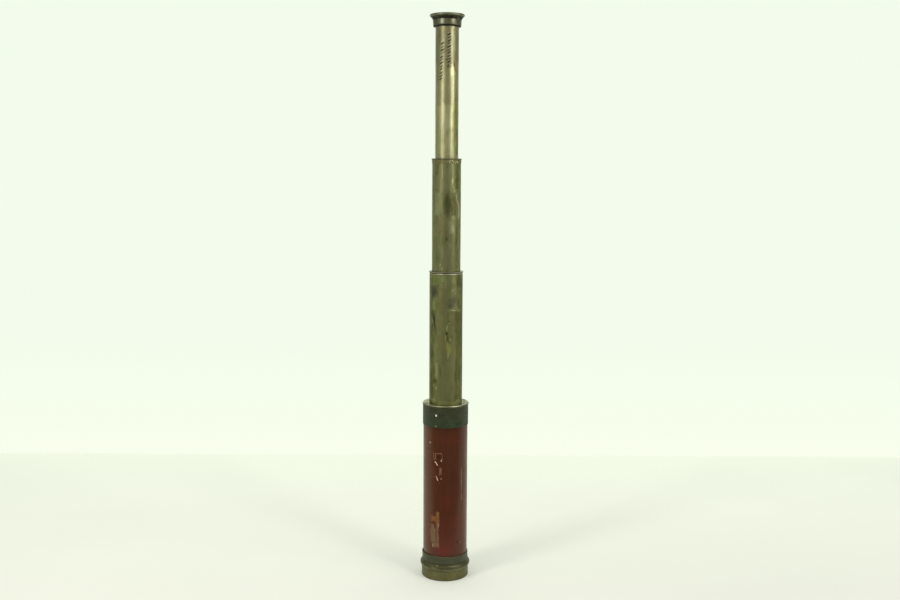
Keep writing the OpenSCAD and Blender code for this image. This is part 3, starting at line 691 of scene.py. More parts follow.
cup_brass = brass(
    "eye_cup_brass", clean=(158, 160, 132), tarnish=(112, 114, 88), dark=(54, 56, 42),
    wear=(170, 172, 142), rough=(0.28, 0.42), cover=0.6, seed=5, speck=0.4, lines=0.6,
    warm=0.2, along=False)
cell_brass = brass(
    "objective_cell_brass", clean=(104, 103, 76), tarnish=(87, 86, 61), dark=(38, 40, 28),
    wear=(236, 224, 186), rough=(0.42, 0.55), cover=0.62, seed=6, speck=0.6, lines=0.6,
    warm=0.25, along=False)
cap_brass = brass(
    "cap_brass", clean=(115, 113, 78), tarnish=(100, 99, 67), dark=(44, 44, 28),
    wear=(156, 150, 100), rough=(0.40, 0.55), cover=0.6, seed=7, speck=0.6, lines=0.4,
    warm=0.35, along=False)
turned_brass = brass(
    "turned_brass", clean=(214, 194, 130), tarnish=(170, 150, 94), dark=(88, 74, 40),
    wear=(236, 220, 168), rough=(0.24, 0.38), cover=0.3, seed=8, speck=0.2, lines=1.0,
    along=False)
japanned = japan("japanned_brass", deep=(49, 53, 36), pale=(60, 63, 43), brown=(66, 58, 40))
japanned_faded = japan("japanned_brass_faded", deep=(60, 61, 43), pale=(75, 72, 51),
                       brown=(82, 66, 48))
varnished_wood, black_brass, lens_glass = mahogany(), blackened(), glass()
black_wax, edge_highlight_paint, screw_heads = wax(), burr_highlight_material(), screw_brass()


# ------------------------------------------------------------------ the wooden barrel
rebate = wood.inner + 0.85      # radius of the rebates at both ends of the wood

# rows as in Points.marks
WOOD_WORN = {"box": [
    (-40, -24, 77.5, 85.5, 0.88, 2, 0.9, 5, 2.4, 1.6), (-24.5, -15, 74, 91.5, 0.92, 1.8, 0.7, 6, 2, 2),
    (-39.5, -22, 50, 74, 0.82, 3.4, 1.4, 7, 2.4, 3), (-25, -15.8, 46, 76, 0.74, 3, 1.4, 9, 1.6, 3),
    (-36, -16, 44, 52, 0.74, 3, 1.2, 10, 2, 2), (-43, -38, 56, 72, 0.35, 3, 1.5, 16),
    (-24, -19, 91, 94, 0.3, 1.5, 0.8, 17), (-51, -47, 56, 64, 0.35, 2, 0.8, 11),
], "oval": [(-32, 62, 5.5, 14, 0.8, 0.7), (-49, 72, 1.4, 1.8, 0.5, 0.6)]}
WOOD_UNWORN = {"oval": [        # varnish left inside the worn patches
    (-30, 77, 2.2, 1.9, 0.85, 0.5), (-27, 71.5, 1.6, 3.4, 0.5, 0.7), (-24.2, 60, 0.5, 14, 0.35, 0.7)]}
WOOD_WORN_BACK = {"box": [(148, 171, 96, 128, 0.9, 2.4, 1.6, 21, 3, 2.5)],
                  "oval": [(101, 62, 3.5, 8, 0.8, 0.5, 12), (-122, 158, 2.6, 7, 0.8, 0.5, -8)]}
WOOD_HONEY = {"box": [(-25, -14, 74, 94, 1, 2, 1.2, 12, 3, 1), (-41, -24, 76, 88, 0.85, 2)]}
WOOD_MOSS = {"box": [(-31, -25, 47, 64, 0.9, 3, 1, 13)]}
WOOD_SCUFF = {"box": [
    (-16.5, -8.5, 140.5, 150, 0.62, 2.4, 1, 14, 3, 1.4), (-46, -22, 139, 149, 0.3, 6, 1.4, 15),
], "oval": [
    (-42.5, 181.5, 2.6, 1.9, 0.5, 0.6), (-48, 168.5, 3.2, 3.6, 0.3, 0.8),
    (-28.5, 161, 2.4, 3, 0.45, 0.8), (-10.4, 135.6, 1.3, 1.4, 0.6, 0.6),
    (-15, 130, 0.8, 0.9, 0.5, 0.6), (42.5, 49.8, 1.9, 1.5, 0.62, 0.6),
    (29, 59.5, 1.6, 2.4, 0.16, 0.8),
]}
WOOD_SCUFF_AND_GLINT_LINES = [
    ([(-35.5, 170), (-32.5, 168.5), (-31, 165), (-29.5, 161.5)], 1, 0.42, 1.2),
    ([(-26.5, 167.4), (-18, 168.6), (-10, 168.6)], 1, 0.85, 0.9),
    ([(-26, 167.6), (-26.4, 163.4), (-24.6, 160.4)], 1.2, 0.8, 1),
    ([(-32.5, 168.6), (-31.4, 165), (-30.6, 161)], 1.2, 0.8, 1),
    ([(-10, 168.6), (-7.6, 165.6), (-8.2, 161.8)], 1, 0.7, 1),
    ([(-43, 169.8), (-38, 170.2), (-35, 169.6)], 0.9, 0.32, 1),
    ([(11, 161), (12.6, 158.2), (14.6, 155.2)], 0.8, 0.45, 0.8),
    ([(-9, 150), (-10.5, 145), (-13.4, 140.4), (-17, 138.6)], 1.1, 0.42, 1),
    ([(-40, 136.4), (-32, 137.4), (-26, 138.2), (-20, 139.8)], 0.75, 0.62, 0.8),
    ([(4.5, 94.3), (12, 94.7), (22, 94.2)], 0.9, 0.22, 0.9),
    # a thin lighter line at 47 degrees, z 106 to 148: a painted glint, drawn as a scuff
    ([(46.8, 148.5, 0.6), (46.9, 140, 1.2), (47.2, 128, 1), (47.2, 116, 0.7), (47.4, 106, 1)],
     1.3, 0.95, 1.2),
    ([(-5, 118), (2, 123), (8, 131)], 0.3, 0.22, 0.3),
    ([(22, 170), (28, 158), (30, 150)], 0.3, 0.22, 0.3),
]
WOOD_CHIP = {"line": [
    ([(-28.6, 157, 0.5), (-26, 157, 1.1), (-22.8, 154.8, 1), (-20.6, 152.6, 0.8)], 1.1, 0.86, 0.7),
    ([(-23.6, 138.4, 0.6), (-22, 136.4, 1), (-20.2, 134.2, 1.1), (-18.8, 132.4, 0.7)], 1, 0.8, 0.7),
    ([(-33.6, 48.2), (-33, 44.2)], 0.9, 0.55, 0.7), ([(-25.2, 48.4), (-24.6, 47.2)], 0.7, 0.45, 0.6),
    ([(-17.2, 75.8), (-17, 71.8)], 0.9, 0.5, 0.7),
], "oval": [
    (-10.4, 158.9, 0.8, 0.8, 0.82, 0.5), (-8.8, 160.8, 0.6, 0.7, 0.6, 0.5),
    (-10.4, 135.4, 0.6, 0.7, 0.55, 0.5), (-42.5, 181.4, 1.9, 1.3, 0.46, 0.8),
    (131, 141, 0.8, 1.2, 0.9, 0.4), (-150, 88, 0.7, 0.9, 0.8, 0.4), (178, 66, 0.9, 0.7, 0.8, 0.4),
]}
WOOD_STAIN = {"oval": [
    (35, 50.6, 1.7, 1.6, 0.8, 0.6), (-49, 172.6, 1.6, 1, 0.7, 0.6), (-33.5, 166, 1.6, 3.2, 0.35, 0.8),
    (-17.5, 164.2, 2.4, 2.4, 0.38, 0.8), (-24, 101, 6, 10, 0.12, 0.9),
    (-12, 157.6, 1.2, 0.8, 0.5, 0.6), (-16, 133.4, 1, 1.4, 0.45, 0.6)]}
WOOD_RED = {"oval": [(-3, 40, 11, 10, 1, 0.9), (-2, 104, 12, 10, 0.35, 0.9),
                     (18, 186, 14, 7, 0.3, 0.9)],
            "box": [(-44, 60, 36, 86, 0.28, 20)]}
# lighter bands down the left and the right side: painted light; and a faint lighter patch low in front
WOOD_TAN_AND_SIDE_LIGHT = {"box": [(-78, -30, 28, 205, 0.85, 16, 1.5, 41), (-30, 20, 38, 56, 0.3, 9),
                    (30, 78, 30, 110, 0.45, 12)]}


@functools.cache
def wood_marks(at):
    """Cached, as the shape needs the marks too and the scratches may be drawn only once."""
    worn = np.clip(at.marks(**WOOD_WORN) - at.marks(**WOOD_UNWORN), 0, 1)
    scuffs = WOOD_SCUFF_AND_GLINT_LINES + scratches(
        46, angle=(62, 296), z=(40, 192), length=(1, 11), width=(0.3, 0.9), strength=(0.25, 0.7),
        lean=1.3, run=(2, 1))
    # grime along both ferrules
    edge = fade(at.z - lower.high, 2.0) * 0.55 + fade(upper.low - at.z, 2.6) * 0.6
    grime = np.clip(edge, 0, 0.9) * (0.6 + 0.5 * at.noise(7, 1, 31))
    fields = {
        "worn": np.maximum(worn, at.marks(**WOOD_WORN_BACK)),
        "honey": at.marks(**WOOD_HONEY), "moss": at.marks(**WOOD_MOSS), "tan": at.marks(**WOOD_TAN_AND_SIDE_LIGHT),
        "scuff": at.marks(line=scuffs, **WOOD_SCUFF), "chip": at.marks(**WOOD_CHIP),
        "stain": np.maximum(at.marks(**WOOD_STAIN), grime), "red": at.marks(**WOOD_RED)}
    outer = at.radius > wood.outer - 0.2
    return {key: field * outer for key, field in fields.items()}


def wood_shape(at):
    marks = wood_marks(at)
    shift = (-0.10 * smooth(marks["worn"], 0.35, 0.75) - 0.10 * smooth(marks["scuff"], 0.5, 0.9)
             - 0.22 * smooth(marks["chip"], 0.4, 0.8))
    shift += (at.noise(24, 2.2, 3, 2) - 0.5) * 0.10
    shift += at.dents([(44.5, 127, 1.6, 24, 0.10), (20, 112, 9, 9, 0.08), (-60, 96, 7, 12, 0.10),
                       (-63, 34.5, 11, 3.0, 0.38)])
    outer = (at.radius > wood.outer - 0.2) * 1.0
    return shift * outer - 0.02 * outer, 0


wood_outline = [
    (wood.outer, wood.low), (wood.outer, wood.high), (rebate, wood.high),
    (rebate, wood.high - 10.2), (wood.inner, wood.high - 10.2),
    (wood.inner, wood.low + 7.2 + 1.0), (rebate, wood.low + 7.2 + 1.0), (rebate, wood.low)]
# finer where the marks are
wood_stations = stations([
    (wood.low, lower.high - 1, 4), (lower.high - 1, 40, 0.8), (40, 94, 0.36), (94, 128, 1.1),
    (128, 184, 0.36), (184, upper.low, 1.1), (upper.low, wood.high, 6)])
turned("wooden_barrel",
       profile(wood_outline, (0.05, 1), 40, wood_stations, outside(wood.outer - 0.3)),
       "barrel", "barrel_tube", varnished_wood, wood.outer,
       stations([(-180, -52, 2.2), (-52, -3, 0.66), (-3, 60, 1.5), (60, 180, 2.2)]),
       wood_shape, wood_marks)


# ------------------------------------------------------------------ upper ferrule
SCREW_ROWS = (217.6, 203.8)     # z of the two rows of four screws
SCREW_ANGLE = -23.7
JOINT = 0.03                    # gap between the ferrules and the wood


def upper_marks(at):
    wear = near(at.z, upper.high, 0.5) * 0.75 + near(at.z, upper.low, 0.35) * 0.55
    wear = wear * (0.55 + 0.75 * at.noise(9, 1, 51))
    lines = [([(20, 219), (26, 215), (29, 209)], 0.3, 0.55, 0.3),
             ([(-8, 206), (3, 204.4)], 0.28, 0.5, 0.3)]
    lines += scratches(26, angle=(-180, 180), z=(201, 226), length=(0.6, 6), width=(0.15, 0.4),
                       strength=(0.2, 0.5), lean=1.6, run=(2, 0.6), soft=0.3)
    nicks = at.marks(oval=[(52, 201, 1, 0.8, 0.6), (-49, 223, 0.9, 1.3, 0.5)], line=lines)
    grime = np.zeros_like(at.angle)
    for z in SCREW_ROWS:
        for k in range(4):
            gap = np.hypot(at.across(SCREW_ANGLE + 90 * k), at.z - z)
            grime = np.maximum(grime, 0.9 * bell(gap, 1.6, 0.7))
    outer = at.radius > upper.outer - 0.45
    return {"wear": np.maximum(wear, nicks) * outer, "stain": grime * outer,
            "verd": smooth(at.z, 219, 206) * outer}


def upper_shape(at):
    shift = (at.noise(16, 1.0, 61, 2) - 0.5) * 0.05
    shift += at.dents([(12, 200.5, 5, 2.2, 0.08), (-48, 206, 6, 5, 0.09), (74, 214, 5, 6, 0.12),
                       (150, 205, 6, 5, 0.12)])
    # a bead a little way above the lower edge
    shift += 0.05 * bell(at.z, upper.low + 2.2, 0.6)
    return np.minimum(shift, 0.0) * (at.radius > upper.outer - 0.45), 0


upper_outline = [
    (upper.inner, wood.high - 10), (rebate - JOINT, wood.high - 10),
    (rebate - JOINT, wood.high + JOINT), (wood.outer + JOINT, wood.high + JOINT),
    (wood.outer + JOINT, upper.low), (upper.outer - 0.25, upper.low),
    (upper.outer, upper.low + 0.4), (upper.outer, upper.high), (upper.inner, upper.high)]
turned("upper_ferrule_shell",
       profile(upper_outline, (0.12, 3), 30, 0.7, outside(upper.outer - 0.4)),
       "barrel", "upper_ferrule", japanned, upper.outer, even(288),
       upper_shape, upper_marks)


# ------------------------------------------------------------------ mouth ring
RING_HEIGHT = 2.3


def mouth_marks(at):
    radius, z = at.radius, at.z
    # crown and glints brighten the rounded top edge in two spots where the lights' reflections fall,
    # and towards the sides: painted highlights carried by the wear mark
    crown = bell(radius, mouth.outer - 0.6, 0.62) * (z > mouth.high - 0.85)
    glints = (0.38 + 0.75 * np.maximum(bell(at.off(24), 0, 13), 0.6 * bell(at.off(-14), 0, 9))
              + 0.3 * smooth(np.abs(at.off()), 60, 100))
    wear = crown * glints * (0.55 + 0.6 * at.noise(8, 1, 71))
    # a bright line on the inner edge of the top: painted highlight
    inner_edge = 0.7 * bell(radius, mouth.inner + 0.6, 0.35) * (z > mouth.high - 0.6)
    rim = radius > mouth.outer - 1.2
    # side: the ring's side below the rounded top is darkened
    side = 0.75 * smooth(mouth.high - z, 0.9, 1.3) * rim
    # a dark line round the top next to the draw tube: painted shade
    stain = 0.7 * bell(radius, mouth.inner + 1.4, 0.3) * (z > mouth.high - 0.6)
    stain = np.maximum(stain, 0.8 * bell(z, mouth.high - RING_HEIGHT, 0.25) * rim)
    for angle, strength in ((-68, 0.8), (33, 0.6), (118, 0.8), (-140, 0.7)):
        spot = np.exp(-(at.off(angle) / 7) ** 2 - ((radius - mouth.outer + 2.2) / 2.2) ** 2)
        stain = np.maximum(stain, strength * spot)
    return {"wear": np.maximum(wear, inner_edge), "stain": np.maximum(stain, side * 0.6),
            "cloud": side}


def mouth_shape(at):
    return -0.03 * at.noise(11, 1, 77) * (at.radius > mouth.outer - 1.3), 0


ring_low = mouth.high - RING_HEIGHT
ring_half = RING_HEIGHT / 2
mouth_outline = [
    (mouth.inner, ring_low - 10.4), (25.4, ring_low - 10.4), (25.4, ring_low),
    (mouth.outer - 0.45, ring_low),
    *arc(mouth.outer - ring_half, mouth.high - ring_half, ring_half, -62, 62, 9),
    (mouth.outer - 0.95, mouth.high), (mouth.outer - 1.6, mouth.high - 0.25),
    (mouth.inner + 1.5, mouth.high - 0.25), (mouth.inner + 1.1, mouth.high),
    (mouth.inner, mouth.high)]
turned("mouth_ring",
       profile(mouth_outline, (0.08, 2), 12, 0.6, lambda a, b: min(a[1], b[1]) > mouth.high - 1),
       "barrel", "barrel_mouth_ring", ring_brass, mouth.outer, even(288),
       mouth_shape, mouth_marks)


# ------------------------------------------------------------------ lower ferrule
def lower_shape(at):
    shift = (at.noise(15, 1.0, 81, 2) - 0.5) * 0.06 - 0.03
    shift += at.dents([(8, 27, 6, 3, 0.06), (64, 28, 5, 4, 0.1), (-118, 28, 7, 5, 0.12),
                       (160, 27, 6, 4, 0.1)])
    # the top edge has sprung away from the wood on the left
    lift = (smooth(at.angle, -118, -92) * (1 - smooth(at.angle, -44, -30))
            * smooth(at.z, lower.high - 6, lower.high - 0.2))
    inner_lift = lift * 0.55 * (at.radius > wood.outer - 0.1) * (at.z > lower.high - 4)
    shift_r = np.where(at.radius > lower.outer - 0.6, np.minimum(shift, 0) + lift * 0.25, inner_lift)
    return shift_r, lift * 0.25 * (at.z > lower.high - 1.5)


def lower_marks(at):
    outer = at.radius > lower.outer - 0.6
    wear = near(at.z, lower.high, 0.4) * 0.7 * (0.4 + 0.8 * at.noise(7, 1, 91))
    lines = scratches(18, angle=(-180, 180), z=(23, 31), length=(0.6, 4), width=(0.15, 0.4),
                      strength=(0.2, 0.5), lean=1.6, run=(2, 0.5), soft=0.3)
    stain = fade(at.z - lower.low, 0.8) * 0.85 * (0.5 + 0.7 * at.noise(6, 1, 93))
    # top_face: the narrow top face against the wood is darkened: painted shade in the crease
    top_face = 0.8 * (at.radius < lower.outer - 0.35) * (at.z > lower.high - 0.6)
    return {"wear": np.maximum(wear, at.marks(line=lines)) * outer,
            "stain": np.maximum(stain, top_face), "verd": 0.45 * smooth(at.z, 31, 26) * outer}


def lower_fine(a, b):
    """The outer face, and the top of the face against the wood."""
    by_wood = abs(a[0] - wood.outer) < 0.2 and max(a[1], b[1]) > lower.high - 1
    return min(a[0], b[0]) > lower.outer - 0.6 or by_wood


lower_outline = [
    (lower.inner, lower.low), (lower.outer, lower.low), (lower.outer, lower.high - 0.5),
    (lower.outer - 0.4, lower.high), (wood.outer + JOINT, lower.high),
    (wood.outer + JOINT, wood.low - JOINT), (rebate - JOINT, wood.low - JOINT),
    (rebate - JOINT, wood.low + 7), (lower.inner, wood.low + 7)]
turned("lower_ferrule_shell", profile(lower_outline, (0.1, 3), 30, 0.6, lower_fine),
       "barrel", "lower_ferrule", japanned_faded, lower.outer, even(288),
       lower_shape, lower_marks)


# ------------------------------------------------------------------ objective cell
SPIGOT = 29.75                  # outer radius of the part that the cap slides over
BEAD_Z, BEAD_HALF = 17.0, 3.8   # middle and half height of the rounded bead
bead_sag = cell.outer - (SPIGOT + 0.1)
bead_radius = (BEAD_HALF ** 2 + bead_sag ** 2) / (2 * bead_sag)
bead_turn = math.degrees(math.asin(BEAD_HALF / bead_radius))
cell_bore = cell.inner + 1.3


def cell_marks(at):
    on_face = at.radius > SPIGOT - 0.3
    # dark lines round the cell just under the bead and where it meets the ferrule, and a short one
    # under the bead at the front left: painted shade; a dark streak high on the bead at the left
    stain = 0.15 * bell(at.z, 12.9, 0.4) * on_face + 0.35 * bell(at.z, 20.9, 0.35) * on_face
    stain = np.maximum(stain, at.marks(line=[
        ([(-38, 13.2, 0.7), (-24, 13.5, 1.2), (-4, 13.3, 0.8)], 0.9, 0.62, 0.9),
        ([(-66, 19.5), (-50, 18.8), (-40, 19.2)], 0.8, 0.5, 0.8)]))
    # these marks are bright lines along the bead where the lights' reflections fall: painted
    # highlights
    wear = at.marks(oval=[(-19, 20.6, 1.8, 0.6, 0.5, 0.6)], line=[
        ([(-36, 16.9, 0.6), (-26, 17.5, 1.2), (-17, 17.9, 0.6)], 1, 0.4, 0.9),
        ([(8, 20.2, 0.8), (13, 20.3, 1.2), (28, 19.9, 0.8)], 0.9, 0.38, 0.8)])
    # pale lightens the lower half of the bead, which faces the floor, as a painted reflection, and the
    # upper flanks off the front as painted light
    pale = (0.95 * (1 - smooth(at.z, 14.6, 16.2))
            + 0.28 * smooth(at.z, 19.0, 20.4) * smooth(np.abs(at.off()), 10, 34))
    return {"wear": wear, "stain": stain, "pale": pale,
            "green": at.marks(box=[(-60, -20, 15, 22, 0.5, 3, 1, 611)]),
            "brown": at.marks(box=[(-40, 10, 16, 21, 0.4, 3, 1, 612),
                                   (60, 130, 14, 22, 0.5, 3, 1, 613)])}


def cell_shape(at):
    shift = (at.noise(12, 1.0, 103, 2) - 0.5) * 0.10 - 0.05
    shift += at.dents([(-28, 17, 3, 2, 0.12), (47, 18, 2.4, 2, 0.14), (100, 16.5, 3, 2, 0.16),
                       (-151, 17, 3, 2, 0.16)])
    return np.minimum(shift, 0) * (at.radius > SPIGOT + 0.3), 0


bead = arc(cell.outer - bead_radius, BEAD_Z, bead_radius, -bead_turn, bead_turn, 26)
cell_outline = [
    (cell_bore, 9.0), (cell.inner, 9.0), (cell.inner, 7.9), (SPIGOT - 1.2, 1.25),
    (SPIGOT - 0.3, 1.25), (SPIGOT, 1.6), (SPIGOT, 12.62), (SPIGOT + 0.5, 12.72),
    *[p for p in bead if p[0] > SPIGOT + 0.62 or p[1] > BEAD_Z],
    (lower.outer + 0.45, 21.0), (lower.outer + 0.55, 21.5), (lower.outer + 0.35, 22.0),
    (25.3, 22.0), (25.3, cell.high), (cell_bore, cell.high)]
turned("objective_cell_body", profile(cell_outline, (0.12, 3), 8, 1.2, outside(SPIGOT - 0.4)),
       "barrel", "objective_cell", cell_brass, cell.outer, even(288),
       cell_shape, cell_marks)


# ------------------------------------------------------------------ objective cap
def cap_marks(at):
    side = at.radius > cap.outer - 0.8
    wear = (side * (near(at.z, cap.high, 0.5) * 0.3 + 0.25 * bell(at.z, 0.6, 0.5))
            * (0.35 + 0.9 * at.noise(9, 1, 111)))
    stain = side * (0.35 * bell(at.z, 1.0, 1.1)) * (0.4 + 0.9 * at.noise(12, 0.6, 113))
    stain = np.maximum(stain, side * at.marks(oval=[
        (-28, 4.4, 7, 1.4, 0.22, 0.8), (36, 4.2, 8, 1.6, 0.18, 0.8), (120, 7, 9, 4, 0.4, 0.8)]))
    end_face = Points(at.angle, at.radius, at.radius, at.face)
    stain = np.maximum(stain, (at.z < 0.4) * 0.5 * end_face.noise(14, 1, 115))
    auto = all_round(at, 625)
    # deep darkens all but a narrow band at the front: painted shade towards the sides
    out = {"wear": wear, "stain": stain,
           "deep": 0.42 * smooth(np.abs(at.off()), 16, 40) * side}
    for key, row in (("green", (-20, 14, 2, 12.6, 0.30, 7, 1.5, 621)),
                     ("brown", (-56, -20, 2, 12.6, 0.4, 6, 1.5, 622)),
                     ("cloud", (24, 66, 2, 12.6, 0.12, 6, 1.5, 623))):
        out[key] = np.maximum(at.marks(box=[row]) * side, auto[key])
    return out


def cap_shape(at):
    side = (smooth(at.radius, cap.outer - 0.25, cap.outer - 0.05) * smooth(at.z, 1.6, 3.0)
            * (at.radius > cap.outer - 0.3))
    shift = -0.04 * at.noise(13, 0.8, 117, 2)
    shift += at.dents([(-20, 8, 6, 3, 0.08), (39, 6, 5, 3, 0.1), (84, 8, 6, 4, 0.1),
                       (-100, 7, 6, 4, 0.1), (170, 6, 6, 4, 0.1)])
    return np.minimum(shift, 0) * side, 0


cap_outline = [
    (0.0, 0.0), *arc(cap.outer - 1.2, 1.2, 1.2, -90, 0, 10),
    (cap.outer, cap.high - 0.6), (cap.outer - 0.12, cap.high), (SPIGOT + 0.15, cap.high),
    (SPIGOT + 0.05, cap.high - 0.3), (SPIGOT + 0.05, 1.2), (SPIGOT - 0.35, 0.8), (0.0, 0.8)]
turned("objective_cap_shell", profile(cap_outline, (0.08, 2), 2.5, 0.7, outside(cap.outer - 0.3)),
       "objective_cap", "objective_cap", cap_brass, cap.outer, even(288),
       cap_shape, cap_marks)


# ------------------------------------------------------------------ draw tubes
def tube_dents(at, hollows, seed, wobble):
    shift = (at.noise(13, 2.6, seed, 2) - 0.5) * 2 * wobble - wobble + at.dents(hollows)
    return np.minimum(shift, 0)


def draw_tube(number, size, mat, seen_from, marks, scratch_z, scratch_counts, gradients,
              patch_seed, hollows, noise_seed, spacing, wobble):
    """marks: {attribute: mark tables}; gradients(at): lists of fields laid over them.
    seen_from: z where the fine rings start. scratch_counts: on stain, wear and pale."""
    def tube_marks(at):
        lines = {}
        strengths = ((0.2, 0.5), (0.3, 0.6), (0.3, 0.7))
        for key, count, strength in zip(("stain", "wear", "pale"), scratch_counts, strengths):
            lines[key] = scratches(count, angle=(60, 300), z=scratch_z, length=(1, 12),
                                   width=(0.2, 0.6), strength=strength)
        more, auto = gradients(at), all_round(at, patch_seed)
        out = {}
        for key, table in marks.items():
            line = table.get("line", []) + lines.get(key, [])
            field = at.marks(table.get("box", ()), table.get("oval", ()), line)
            for gradient in more.get(key, ()):
                field = np.maximum(field, gradient)
            if key == "deep":
                field = field * (1 - smooth(np.abs(at.off()), 60, 68))
            out[key] = np.maximum(field, auto.get(key, 0.0)) * (at.radius > size.outer - 0.2)
        return out

    def tube_shape(at):
        shift = tube_dents(at, hollows, noise_seed, wobble)
        return shift * (at.radius > size.outer - 0.2), 0

    outline = [(size.outer, size.low), (size.outer, size.high), (size.inner, size.high),
               (size.inner, size.low)]
    rings = stations([(size.low, seen_from, 3.5), (seen_from, size.high - 0.5, 0.8)])
    turned(f"draw_{number}_barrel",
           profile(outline, (0.06, 1), 60, rings, outside(size.outer - 0.2, 5)),
           f"draw_{number}", f"draw_{number}_tube", mat, size.outer,
           even(int(2 * math.pi * size.outer / spacing)), tube_shape, tube_marks)


